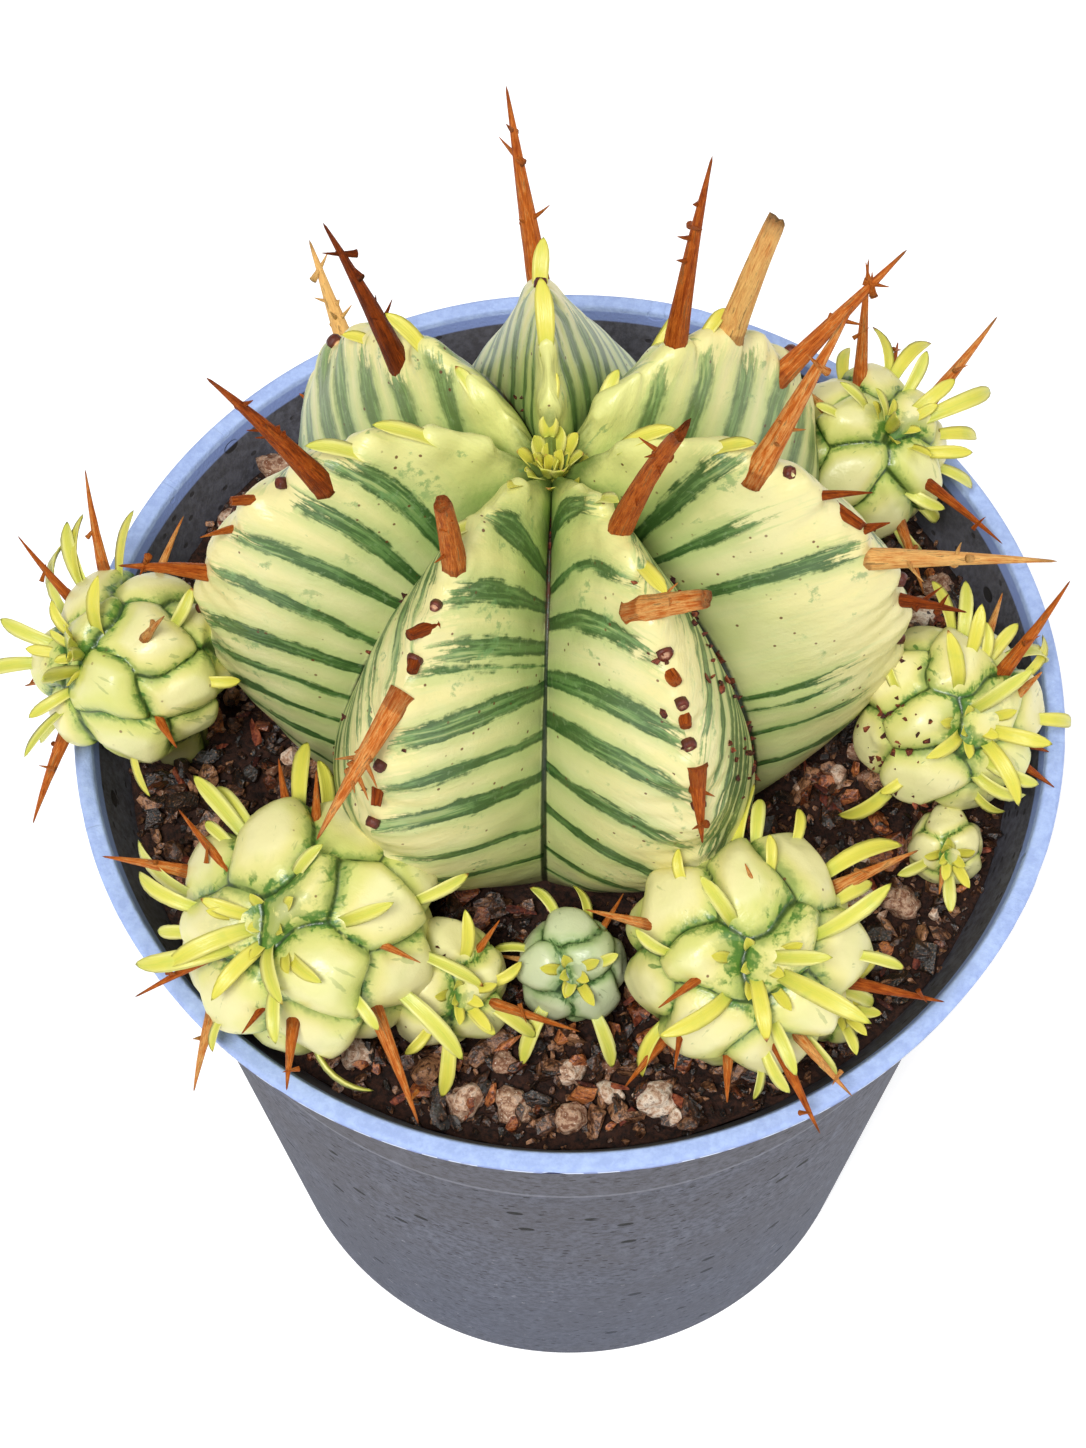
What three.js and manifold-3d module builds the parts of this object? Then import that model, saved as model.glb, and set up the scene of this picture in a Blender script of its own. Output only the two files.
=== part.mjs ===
// A potted melon spurge with cream and green variegation: one big seven-ribbed stem with woody thorns,
// a ring of round offsets that bear strap leaves and thorns, gritty soil and a tall plastic nursery pot.
// Millimetres, +Z up. The origin is the middle of the pot's underside, and the front of the plant is at -Y.
import * as THREE from "three";
import { mergeVertices } from "three/addons/utils/BufferGeometryUtils.js";
import Module from "manifold-3d";

const wasm = await Module();
wasm.setup();

// Driving dimensions of the pot
const potHeight = 135;
const rimRadius = 65;
const rimWidth = 2.3;
const lipHeight = 2.2;
const wallThickness = 1.8;
const collarHeight = 8;
const collarRadius = 60.8;
const collarFlare = 1.7;
const wallTopRadius = 59.4;
const footRadius = 48;
const floorTop = 3.6;
const recessInner = 21; // the underside rests on a middle disc and on a foot ring, with a recess between
const recessOuter = 41;
const recessDepth = 1.8;
const drainHoles = 6;
const drainCircle = 32;
const drainRadius = 3.6;

// Driving dimensions of the soil
const soilTop = 126; // highest level of the fine soil
const soilRelief = 1.6; // depth of the hollows between its crumbs
const soilRings = 6;
const stones = 16;
const stoneField = 55; // radius of the circle that the stones lie in
const clearance = 0.3; // gap left between pieces that touch

// Driving dimensions of the main stem
const stemAxis = new THREE.Vector2(-2, 10);
const ribCount = 7;
const firstRib = 88; // degrees, the rib that points to the back
const plugRadius = 26; // round root end that stands in the soil
const plugDepth = 18;
const crestHumps = 11;
const humpHeight = 0.7;
const columnsPerRib = 8;
const stemRows = 16;

const radians = THREE.MathUtils.degToRad;

// A repeatable value from 0 to 1 for each whole number
function scatter(n) {
  const wave = Math.sin(n * 12.9898 + 4.1414) * 43758.5453;
  return wave - Math.floor(wave);
}

// Solids and meshes

// The same geometry with its seams welded, so that its skin is closed
function welded(geometry) {
  const bare = geometry.clone();
  bare.deleteAttribute("normal");
  bare.deleteAttribute("uv");
  return mergeVertices(bare, 1e-4);
}

function solidOf(geometry) {
  const { attributes, index } = welded(geometry);
  return new wasm.Manifold(
    new wasm.Mesh({
      numProp: 3,
      vertProperties: new Float32Array(attributes.position.array),
      triVerts: new Uint32Array(index.array),
    }),
  );
}

function largestPiece(solid) {
  const pieces = solid.decompose();
  return pieces.reduce((best, piece) => (piece.volume() > best.volume() ? piece : best));
}

function meshOf(name, solid, material) {
  const { vertProperties, triVerts } = largestPiece(solid).getMesh();
  const geometry = new THREE.BufferGeometry();
  geometry.setAttribute("position", new THREE.BufferAttribute(new Float32Array(vertProperties), 3));
  geometry.setIndex(new THREE.BufferAttribute(new Uint32Array(triVerts), 1));
  geometry.computeVertexNormals();
  const mesh = new THREE.Mesh(geometry, material);
  mesh.name = name;
  return mesh;
}

function lathe(points, segments) {
  const profile = points.map(([radius, z]) => new THREE.Vector2(radius, z));
  return new THREE.LatheGeometry(profile, segments).rotateX(Math.PI / 2);
}

// An upright round bar from one height to another, which may grow wider or thinner towards its top
function bar(x, y, bottom, top, radius, sides, topRadius = radius) {
  const geometry = new THREE.CylinderGeometry(topRadius, radius, top - bottom, sides);
  return geometry.rotateX(Math.PI / 2).translate(x, y, (top + bottom) / 2);
}

// Moves every point of a geometry to where the rule sends it
function reshape(source, rule) {
  const geometry = welded(source);
  const position = geometry.attributes.position;
  const point = new THREE.Vector3();
  for (let i = 0; i < position.count; i++) {
    point.fromBufferAttribute(position, i);
    rule(point);
    position.setXYZ(i, point.x, point.y, point.z);
  }
  return geometry;
}

// Leaves and thorns, both grown along an arc

// normal is the way that the arc starts from when its lean is 0, and away is the way that it leans to.
// section gives the half width, the half thickness and the lift of the edges at each share of the length.
function sprout({ seat, leanFrom, leanTo, length, sides, steps, pointed, section }) {
  const { base, normal, away } = seat;
  const start = radians(leanFrom);
  const bend = radians(Math.max(leanTo - leanFrom, 1));
  const across = new THREE.Vector3().crossVectors(away, normal);
  const rod = new THREE.CylinderGeometry(pointed ? 0 : 1, 1, 1, sides, steps, false, Math.PI);
  return reshape(rod, (point) => {
    const share = point.y + 0.5;
    const full = pointed ? Math.max(1 - share, 1e-6) : 1;
    const x = point.x / full;
    const z = point.z / full;
    const lean = start + bend * share;
    const rise = (length * (Math.sin(lean) - Math.sin(start))) / bend;
    const drift = (length * (Math.cos(start) - Math.cos(lean))) / bend;
    const { wide, thick, lift } = section(share);
    const outward = pointed && share > 0.999 ? 0 : z * thick + lift * Math.abs(x);
    point.copy(base).addScaledVector(normal, rise + outward * Math.sin(lean));
    point.addScaledVector(away, drift - outward * Math.cos(lean));
    if (!pointed || share < 0.999) point.addScaledVector(across, x * wide);
  });
}

const leafThickness = 1.2;
const leafLift = 0.35;
const leafSink = 1.3;
const thornSink = 1.8;

// Strap leaves have a keel below, are widest past the middle and come to a short point
function leaf(seat, length, lean) {
  const half = 0.65 + 0.055 * length;
  const section = (share) => ({
    wide: half * (0.5 + 0.5 * Math.sin((Math.PI * share) / 1.3)),
    thick: leafThickness / 2,
    lift: leafLift,
  });
  const root = { ...seat, base: seat.base.clone().addScaledVector(seat.normal, -leafSink) };
  const shape = { seat: root, leanFrom: lean * 0.6, leanTo: lean * 1.4, length: length + leafSink };
  return solidOf(sprout({ ...shape, sides: 3, steps: 3, pointed: true, section }));
}

// Thorns taper to a point, and the blunt ones are broken off. The thin ones have fewer sides.
function thorn(seat, length, lean, radius, blunt = false) {
  const tip = blunt ? 0.7 : 0.12;
  const section = (share) => {
    const size = radius * (1 - (1 - tip) * share ** 1.3);
    return { wide: size, thick: size, lift: 0 };
  };
  const root = { ...seat, base: seat.base.clone().addScaledVector(seat.normal, -thornSink) };
  const shape = { seat: root, leanFrom: lean - 4, leanTo: lean + 4, length: length + thornSink };
  return solidOf(sprout({ ...shape, sides: radius > 1.2 ? 5 : 4, steps: 2, pointed: !blunt, section }));
}

// Pot

const wallTop = potHeight - lipHeight - collarHeight;

function wallRadius(z) {
  if (z > wallTop) return collarRadius + ((z - wallTop) / collarHeight) * collarFlare;
  return footRadius + ((wallTopRadius - footRadius) * z) / wallTop;
}

function innerRadius(z) {
  return wallRadius(z) - wallThickness;
}

function buildPot() {
  const lipBottom = potHeight - lipHeight;
  const mouthRadius = rimRadius - rimWidth;
  const shell = solidOf(
    lathe(
      [
        [0, 0],
        [recessInner, 0],
        [recessInner + 1, recessDepth],
        [recessOuter, recessDepth],
        [recessOuter + 1, 0],
        [footRadius, 0],
        [wallRadius(wallTop), wallTop],
        [collarRadius, wallTop + 0.6],
        [wallRadius(lipBottom), lipBottom - 0.4],
        [rimRadius - 0.3, lipBottom],
        [rimRadius, potHeight - 0.4],
        [rimRadius - 0.4, potHeight],
        [mouthRadius, potHeight],
        [mouthRadius - 0.3, potHeight - 0.6],
        [innerRadius(wallTop) + 0.6, wallTop - 1],
        [innerRadius(floorTop), floorTop],
        [0, floorTop],
      ],
      36,
    ),
  );
  const holes = [];
  for (let i = 0; i < drainHoles; i++) {
    const angle = radians(((i + 0.5) * 360) / drainHoles);
    const x = drainCircle * Math.cos(angle);
    const y = drainCircle * Math.sin(angle);
    holes.push(solidOf(bar(x, y, -1, floorTop + 1, drainRadius, 10)));
  }
  return holes.reduce((pot, hole) => pot.subtract(hole), shell);
}

// Main stem: the crest and the furrow of a rib are two profiles, and a rule for the flank joins them

function curveThrough(points) {
  return new THREE.SplineCurve(points.map(([radius, z]) => new THREE.Vector2(radius, z)));
}

const crestProfile = curveThrough([
  [0, 174],
  [5.5, 180.5],
  [12, 186.6],
  [20, 188.8],
  [28, 186.6],
  [35, 181.2],
  [40.5, 174.2],
  [44, 165.5],
  [45.4, 156],
  [44.6, 146],
  [41, 136],
  [36.5, 128],
  [35.5, soilTop + clearance],
]);

const furrowProfile = curveThrough([
  [0, 173.6],
  [3, 173.2],
  [6, 172.6],
  [10.5, 171.4],
  [15.5, 169.4],
  [20.5, 166.2],
  [25, 161.6],
  [29, 155.5],
  [32, 148],
  [33.6, 140],
  [33.8, 133],
  [32.6, 128],
  [32, soilTop + clearance],
]);

// How far each rib stands out and up, as shares of the crest profile, and how many degrees its crest leans
// round the stem. Ribs count anticlockwise from the back one.
const ribReach = [0.62, 0.86, 0.98, 1.02, 0.97, 1, 0.84];
const ribRise = [1, 0.66, 1, 1, 1, 1, 0.78];
const ribLean = [6, 0, 0, 0, 0, 0, 0];

// 1 on the crest and 0 in the furrow, for a place from -1 to 1 across the rib
function flank(place) {
  const roundness = 0.2;
  const ridge = Math.hypot(place, roundness) - roundness;
  const tent = ridge / (Math.hypot(1, roundness) - roundness);
  return 1 - 0.88 * tent - 0.12 * place ** 4;
}

// A point of the stem's skin. down is 0 at the growing point and 1 at the soil.
function stemSkin(angle, down) {
  const turn = ((angle - radians(firstRib)) / (2 * Math.PI)) * ribCount;
  const rib = Math.round(turn);
  const place = 2 * (turn - rib);
  const height = flank(place);
  const crest = crestProfile.getPoint(down);
  const furrow = furrowProfile.getPoint(down);
  const own = ((rib % ribCount) + ribCount) % ribCount;
  const reach = ribReach[own];
  const crestRadius = crest.x * (reach + (1 - reach) * down ** 3);
  const middle = Math.max(0, 1 - 3 * Math.abs(place)) * Math.min(1, down * 6, (1 - down) * 5);
  const hump = humpHeight * middle * Math.cos(2 * Math.PI * crestHumps * down);
  const radius = furrow.x + (crestRadius - furrow.x) * height + hump;
  const heading = angle + radians(ribLean[own]) * height;
  return new THREE.Vector3(
    stemAxis.x + radius * Math.cos(heading),
    stemAxis.y + radius * Math.sin(heading),
    furrow.y + (crest.y - furrow.y) * height * ribRise[own] + hump * (1 - down),
  );
}

// Thorns on the crests: rib, share of the way down, tilt above level, turn sideways, length, radius, blunt.
// A rib with a fraction is a place beside its crest.
const stemThorns = [
  [0, 0.46, 55, 17, 25, 1.6],
  [0, 0.56, 20, -10, 5, 0.9],
  [0, 0.66, 5, 10, 9, 1.1],
  [1.12, 0.33, 61, -13, 21, 1.6],
  [0.88, 0.61, 50, -15, 16, 1.5],
  [1, 0.71, 10, 5, 3, 0.9],
  [2.08, 0.35, 65, -22, 23, 1.6],
  [2, 0.44, 35, 10, 3, 0.8, true],
  [2, 0.5, 30, 20, 5, 0.7],
  [2, 0.59, 38, 4, 13, 1.3],
  [3, 0.28, 87, 0, 17, 1.5, true],
  [3, 0.36, 30, -20, 2.2, 1, true],
  [3, 0.4, 20, 20, 2, 1, true],
  [3, 0.45, -18, -6, 18, 1.6],
  [3, 0.57, -10, 20, 2, 0.9, true],
  [4.04, 0.24, 79, 45, 27, 1.5, true],
  [3.96, 0.34, 48, 47, 11, 1.6, true],
  [4, 0.42, 30, 0, 2, 1.1, true],
  [4, 0.47, 15, -20, 1.4, 1, true],
  [4, 0.55, -52, -18, 9, 1.3],
  [4.96, 0.31, 64, 52, 25, 1.7],
  [5, 0.39, 25, 8, 6.5, 0.8],
  [5, 0.43, 20, -30, 3, 0.9, true],
  [5, 0.46, 40, 6, 3.2, 0.9],
  [4.96, 0.5, 29, 0, 24, 1.5],
  [5, 0.6, 20, -5, 9, 1.1],
  [6.04, 0.27, 74, 33, 27, 1.6],
  [6, 0.37, 72, 11, 18, 1.8, true],
  [5.88, 0.49, 33, 5, 22, 1.6],
];

// Leaves on the crests: rib, share of the way down, tilt above level, turn sideways, length
const stemLeaves = [
  [0, 0.1, 50, 0, 4.5],
  [0, 0.21, 44, 0, 8],
  [0, 0.43, 48, 5, 6.5],
  [1.12, 0.18, 40, -25, 5],
  [1.04, 0.28, 44, 0, 6.5],
  [1.04, 0.41, 40, 30, 3.5],
  [2.04, 0.13, 40, -5, 4],
  [2.08, 0.2, 40, -10, 8],
  [2.08, 0.29, 40, -15, 7.5],
  [3, 0.13, 66, 0, 3.5],
  [2.96, 0.23, 30, -20, 4],
  [4, 0.18, 64, 25, 5.5],
  [4.04, 0.29, 28, 0, 6],
  [5, 0.14, 40, 25, 6.5],
  [4.96, 0.25, 40, 15, 5.5],
  [6.12, 0.15, 40, 15, 4.5],
  [6.16, 0.28, 36, 0, 7],
  [6.04, 0.34, 36, 5, 4],
];

// The seat of a spike on a crest, which leans downhill from the way that it points
function crestSeat(rib, down, tilt, turn) {
  const angle = radians(firstRib + (rib * 360) / ribCount);
  const heading = angle + radians(turn);
  const rise = radians(tilt);
  const level = new THREE.Vector3(Math.cos(heading), Math.sin(heading), 0);
  const up = new THREE.Vector3(0, 0, 1);
  const normal = level.clone().multiplyScalar(Math.cos(rise)).addScaledVector(up, Math.sin(rise));
  const away = level.clone().multiplyScalar(Math.sin(rise)).addScaledVector(up, -Math.cos(rise));
  return { base: stemSkin(angle, down), normal, away };
}

// The skin is grown by a margin where it serves to cut the heads that press on it
function stemBody(margin) {
  const columns = ribCount * columnsPerRib;
  const rows = stemRows + 2;
  const skin = reshape(new THREE.SphereGeometry(1, columns, rows), (point) => {
    const row = Math.round((Math.acos(THREE.MathUtils.clamp(point.y, -1, 1)) / Math.PI) * rows);
    const angle = radians(firstRib) + Math.atan2(-point.z, point.x);
    if (row <= stemRows) {
      point.copy(stemSkin(angle, (row / stemRows) ** 1.1));
    } else {
      const radius = row === rows ? 0 : plugRadius;
      const level = soilTop + clearance;
      point.set(stemAxis.x + radius * Math.cos(angle), stemAxis.y + radius * Math.sin(angle), level);
    }
    point.x += margin * Math.cos(angle);
    point.y += margin * Math.sin(angle);
    if (margin > 0 && row >= stemRows) point.z -= plugDepth;
  });
  return solidOf(skin);
}

function buildStem() {
  const plugTop = soilTop + clearance + 1;
  let stem = stemBody(0).add(
    solidOf(bar(stemAxis.x, stemAxis.y, soilTop - plugDepth, plugTop, plugRadius, 28)),
  );
  for (const [rib, down, tilt, turn, length, radius, blunt] of stemThorns) {
    stem = stem.add(thorn(crestSeat(rib, down, tilt, turn), length, 4, radius, blunt));
  }
  for (const [rib, down, tilt, turn, length] of stemLeaves) {
    stem = stem.add(leaf(crestSeat(rib, down, tilt, turn), length, 12));
  }
  return stem;
}

// Offsets: round heads of swollen tubercles, each on a short neck

// Each leaf has its azimuth and its angle from the head's axis, its length, its lean away from the growing
// point, and how far that lean turns sideways. A thorn has its radius as well. Degrees and millimetres.
const offsets = [
  {
    name: "offset_left",
    centre: [-55.2, -1.6, 147],
    radius: 12.4,
    axis: { tilt: 50, heading: 194 },
    tubercles: 26,
    neck: [-52, -0.5, 4],
    leaves: [
      [120, 40, 11, 55, -10],
      [100, 54, 9, 30, 30],
      [100, 52, 10, 40, -10],
      [84, 72, 9, 30, 0],
      [20, 32, 8, 35, 60],
      [95, 16, 4, 40, 30],
      [10, 14, 6, 30, 0],
      [350, 16, 7, 30, 0],
      [300, 16, 11, 20, 20],
      [265, 26, 6, 40, -50],
      [245, 40, 7, 20, 0],
      [15, 80, 5, 40, 60],
      [343, 104, 4, 40, 20],
      [262, 95, 6, 20, 0],
      [215, 62, 7, 30, 0],
      [150, 20, 8, 35, 0],
      [180, 34, 9, 35, 0],
      [165, 62, 8, 40, 0],
    ],
    thorns: [
      [90, 65, 13, 10, 0, 0.9],
      [110, 46, 10, 5, 0, 0.8],
      [70, 90, 8, 10, -30, 0.7],
      [5, 60, 9, 10, 0, 0.8],
      [232, 58, 13, 35, 0, 1],
      [205, 78, 9, 20, 0, 0.8],
      [310, 84, 5, 10, 0, 0.8],
      [180, 70, 9, 15, 0, 0.8],
      [140, 84, 8, 10, 0, 0.8],
    ],
  },
  {
    name: "offset_front_left",
    centre: [-31.9, -35.4, 142.6],
    radius: 16.4,
    axis: { tilt: 30, heading: 230 },
    tubercles: 30,
    neck: [-31.5, -34, 7],
    leaves: [
      [124, 73, 10, 20, 30],
      [120, 75, 9, 40, 20],
      [94, 84, 10, 35, 10],
      [80, 88, 8, 35, 40],
      [128, 58, 4, 40, 40],
      [60, 26, 6, 45, -20],
      [165, 64, 11, 40, -40],
      [170, 42, 9, 50, -20],
      [200, 8, 12, 60, 0],
      [185, 60, 6, 40, -10],
      [160, 10, 6, 45, 0],
      [215, 20, 13, 60, -20],
      [255, 12, 9, 50, -40],
      [275, 12, 9, 45, 20],
      [310, 20, 6, 45, 10],
      [278, 30, 7, 45, 0],
      [0, 38, 8, 35, 40],
      [10, 80, 7, 35, 40],
      [316, 58, 4, 40, 0],
      [275, 82, 9, 50, 60],
      [325, 88, 11, 30, -20],
      [345, 90, 8, 30, -40],
      [235, 58, 4, 40, 30],
    ],
    thorns: [
      [136, 32, 12, 70, 0, 0.9],
      [154, 66, 11, 20, 50, 1],
      [210, 10, 15, 62, 0, 1],
      [100, 82, 6, 5, 0, 0.8],
      [76, 66, 6, 10, 40, 0.8],
      [350, 56, 5, 55, -20, 0.7],
      [226, 58, 10, 45, 40, 0.9],
      [262, 44, 4, 25, -50, 0.7],
      [277, 54, 9, 8, 0, 1],
      [315, 78, 15, 35, -50, 1.2],
    ],
  },
  {
    name: "offset_front_left_lower",
    centre: [-15.4, -39.8, 134],
    radius: 8.2,
    axis: { tilt: 42, heading: 300 },
    tubercles: 16,
    neck: [-16, -39.5, 3.4],
    leaves: [
      [80, 40, 6, 40, 0],
      [20, 30, 4, 50, 0],
      [335, 40, 7, 45, -20],
      [262, 58, 8, 35, 20],
      [300, 20, 4, 40, 0],
      [230, 50, 4, 40, 0],
    ],
    thorns: [
      [340, 30, 12, 40, 0, 0.9],
      [60, 50, 5, 20, 0, 0.7],
    ],
  },
  {
    name: "offset_green",
    centre: [0.3, -37.4, 133.4],
    radius: 7.2,
    axis: { tilt: 30, heading: 272 },
    tubercles: 14,
    neck: [0.3, -37, 3],
    leaves: [
      [106, 88, 5, 40, 30],
      [70, 88, 5, 45, 30],
      [156, 84, 5, 40, 50],
      [234, 66, 8, 35, 10],
      [298, 66, 7, 35, 0],
      [20, 30, 2.4, 30, 0],
      [270, 12, 2.4, 20, 0],
    ],
    thorns: [
      [50, 88, 5, 20, 20, 0.6],
      [172, 88, 4, 30, 0, 0.6],
    ],
  },
  {
    name: "offset_front_right",
    centre: [21.6, -38.9, 141.4],
    radius: 15,
    axis: { tilt: 30, heading: 279 },
    tubercles: 28,
    neck: [21, -36.5, 6.5],
    leaves: [
      [94, 90, 10, 40, -30],
      [84, 90, 7, 40, 10],
      [65, 88, 5, 40, 20],
      [78, 56, 4, 40, 20],
      [132, 62, 3.5, 40, -30],
      [174, 48, 5, 30, -40],
      [120, 26, 8, 35, 0],
      [24, 36, 11, 40, 20],
      [30, 82, 6, 35, 10],
      [45, 84, 13, 40, -30],
      [30, 8, 8, 40, -40],
      [335, 12, 13, 45, 10],
      [262, 8, 8, 55, 20],
      [285, 32, 7, 40, 30],
      [228, 24, 10, 45, -10],
      [220, 82, 7, 40, 30],
      [2, 60, 6, 35, -40],
      [340, 76, 6, 45, 10],
      [278, 58, 6, 40, 40],
      [277, 74, 4, 30, -40],
      [305, 66, 6, 30, 10],
    ],
    thorns: [
      [161, 62, 8, 25, 10, 0.9],
      [78, 30, 5, 60, 40, 0.8],
      [190, 28, 6, 50, 30, 0.8],
      [215, 52, 6, 55, 60, 0.7],
      [38, 84, 13, 25, -40, 1.2],
      [345, 72, 12, 18, 10, 1],
      [258, 74, 6, 10, 60, 0.9],
      [286, 55, 12, 15, 30, 1],
      [300, 56, 10, 20, 30, 0.9],
      [226, 84, 8, 15, 20, 0.9],
    ],
  },
  {
    name: "offset_front_right_lower",
    centre: [32, -41.2, 131.6],
    radius: 5.6,
    axis: { tilt: 40, heading: 310 },
    tubercles: 12,
    neck: [32, -41, 2.4],
    leaves: [
      [60, 40, 5, 20, 0],
      [345, 20, 4, 10, 0],
      [285, 30, 4, 20, 0],
    ],
    thorns: [[145, 30, 6, 20, 0, 0.8]],
  },
  {
    name: "offset_right",
    centre: [48.6, -5.6, 141],
    radius: 12.2,
    axis: { tilt: 38, heading: 291 },
    tubercles: 24,
    neck: [47, -5, 5],
    leaves: [
      [94, 72, 7, 45, 20],
      [88, 68, 7, 35, -30],
      [88, 50, 6, 30, -20],
      [74, 50, 4, 40, 0],
      [66, 58, 6, 40, -10],
      [110, 30, 8, 40, -10],
      [54, 64, 10, 80, -60],
      [30, 74, 7, 50, 20],
      [97, 12, 10, 40, -40],
      [210, 10, 7, 45, 0],
      [350, 10, 8, 50, 0],
      [310, 14, 9, 55, 0],
      [290, 26, 8, 60, 60],
      [275, 36, 8, 65, 60],
      [283, 64, 5, 50, 60],
      [229, 84, 9, 45, 10],
      [222, 60, 3, 40, 0],
      [155, 60, 3.5, 55, -60],
      [0, 64, 7, 50, 0],
    ],
    thorns: [
      [52, 46, 15, 20, 30, 1.1],
      [30, 34, 4, 35, 30, 0.9],
      [326, 66, 6, 35, 0, 0.8],
      [340, 70, 5, 40, 0, 0.8],
      [64, 84, 6, 20, 0, 0.8],
    ],
  },
  {
    name: "offset_right_lower",
    centre: [48.8, -19.2, 130.8],
    radius: 5,
    axis: { tilt: 45, heading: 270 },
    tubercles: 12,
    neck: [48.8, -19, 2.2],
    leaves: [
      [270, 40, 5, 20, 0],
      [200, 40, 4, 30, 0],
      [90, 10, 3, 30, 0],
    ],
    thorns: [[250, 20, 4, 20, 0, 0.7]],
  },
  {
    name: "offset_upper_right",
    centre: [39, 32.6, 143.6],
    radius: 11.6,
    axis: { tilt: 26, heading: 345 },
    tubercles: 24,
    neck: [40.5, 33, 4.4],
    leaves: [
      [84, 57, 7, 40, 10],
      [80, 54, 9, 45, -30],
      [72, 30, 6, 35, 0],
      [155, 10, 5, 35, 0],
      [205, 10, 9, 15, 0],
      [20, 20, 12, 62, 0],
      [327, 30, 6, 40, 60],
      [116, 72, 6, 45, -40],
      [163, 26, 5, 45, 0],
      [178, 44, 3, 40, 0],
      [295, 54, 5, 40, 50],
      [320, 80, 6, 45, 50],
      [293, 84, 7, 60, 50],
      [348, 66, 7, 40, 0],
      [45, 14, 7, 45, 0],
      [10, 48, 8, 50, 0],
    ],
    thorns: [
      [120, 50, 16, 20, -60, 1.1],
      [36, 26, 15, 40, 30, 1.1],
      [310, 46, 13, 20, 0, 0.9],
      [296, 80, 10, 20, 0, 0.9],
      [167, 56, 6, 5, 0, 0.9],
      [70, 80, 9, 20, 0, 0.9],
    ],
  },
];

const goldenAngle = 137.508;
const creaseDepth = 0.1; // share of the head's radius
const creaseSpread = 0.42; // radians from a crease to the flat of a tubercle
const neckSpread = 0.6; // width of the neck inside the head, as a share of the head's

// Unit vectors of a head: its axis, and two across it, the first of them level and towards +X
function headFrame({ axis: { tilt, heading } }) {
  const ring = Math.sin(radians(tilt));
  const axis = new THREE.Vector3(
    ring * Math.cos(radians(heading)),
    ring * Math.sin(radians(heading)),
    Math.cos(radians(tilt)),
  );
  const first = new THREE.Vector3(1, 0, 0).addScaledVector(axis, -axis.x).normalize();
  return { axis, first, second: new THREE.Vector3().crossVectors(axis, first) };
}

function headDirection(frame, azimuth, fromAxis) {
  const ring = Math.sin(radians(fromAxis));
  return new THREE.Vector3()
    .addScaledVector(frame.axis, Math.cos(radians(fromAxis)))
    .addScaledVector(frame.first, ring * Math.cos(radians(azimuth)))
    .addScaledVector(frame.second, ring * Math.sin(radians(azimuth)));
}

// Tubercle tops lie on a golden-angle spiral, closer together at the growing point
function tubercleTops(frame, count) {
  const tops = [];
  for (let i = 0; i < count; i++) {
    tops.push(headDirection(frame, i * goldenAngle + 40, 180 * ((i + 0.5) / count) ** 0.68));
  }
  return tops;
}

// The skin is swollen on a tubercle's top and creased where two tubercles meet
function headPoint(offset, tops, direction) {
  let nearest = Infinity;
  let second = Infinity;
  for (const top of tops) {
    const gap = direction.angleTo(top);
    second = Math.min(second, Math.max(gap, nearest));
    nearest = Math.min(nearest, gap);
  }
  const swell = Math.sqrt(Math.min(1, (second - nearest) / creaseSpread));
  const reach = offset.radius * (1 - creaseDepth + creaseDepth * swell);
  return new THREE.Vector3(...offset.centre).addScaledVector(direction, reach);
}

function headSeat(offset, frame, tops, azimuth, fromAxis, turn) {
  const normal = headDirection(frame, azimuth, fromAxis);
  const outward = normal.clone().multiplyScalar(frame.axis.dot(normal)).sub(frame.axis).normalize();
  const sideways = new THREE.Vector3().crossVectors(normal, outward);
  const away = outward.multiplyScalar(Math.cos(radians(turn)));
  away.addScaledVector(sideways, Math.sin(radians(turn)));
  return { base: headPoint(offset, tops, normal), normal, away };
}

function neckDepth(offset) {
  return 5 + offset.radius * 0.45;
}

function buildOffset(offset, neighbours) {
  const frame = headFrame(offset);
  const tops = tubercleTops(frame, offset.tubercles);
  const rows = offset.radius > 10 ? 11 : 8;
  const skin = reshape(new THREE.SphereGeometry(1, rows * 2, rows), (point) => {
    const direction = new THREE.Vector3()
      .addScaledVector(frame.axis, point.y)
      .addScaledVector(frame.first, point.x)
      .addScaledVector(frame.second, -point.z)
      .normalize();
    point.copy(headPoint(offset, tops, direction));
    point.z = Math.max(point.z, soilTop + clearance);
  });
  const [x, y, neckRadius] = offset.neck;
  const foot = bar(x, y, soilTop - neckDepth(offset), soilTop + clearance + 1, neckRadius, 10);
  const neckTop = offset.radius * neckSpread;
  const neck = bar(x, y, soilTop + clearance, offset.centre[2], neckRadius, 10, neckTop);
  let head = solidOf(skin).add(solidOf(foot)).add(solidOf(neck));
  for (const [azimuth, fromAxis, length, lean, turn] of offset.leaves) {
    head = head.add(leaf(headSeat(offset, frame, tops, azimuth, fromAxis, turn), length, lean));
  }
  for (const [azimuth, fromAxis, length, lean, turn, radius] of offset.thorns) {
    head = head.add(thorn(headSeat(offset, frame, tops, azimuth, fromAxis, turn), length, lean, radius));
  }
  return neighbours.reduce((solid, neighbour) => solid.subtract(neighbour), head);
}

// A plain ball a little larger than a head, which cuts a hollow where a later head presses on it
function pressOf(offset) {
  const ball = new THREE.SphereGeometry(offset.radius + clearance, 24, 12);
  return solidOf(ball.translate(...offset.centre));
}

// Soil: a tapered plug of crumbs with a plain hole for each root end, and stones half sunk in its surface

function crumbs(x, y) {
  const coarse = Math.sin(x * 0.35 + 1.3) * Math.cos(y * 0.41 + 0.4);
  const fine = Math.sin(x * 0.87 + y * 0.53) * Math.cos(y * 0.95 - x * 0.29);
  return soilRelief * (0.5 + 0.28 * coarse + 0.22 * fine);
}

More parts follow.
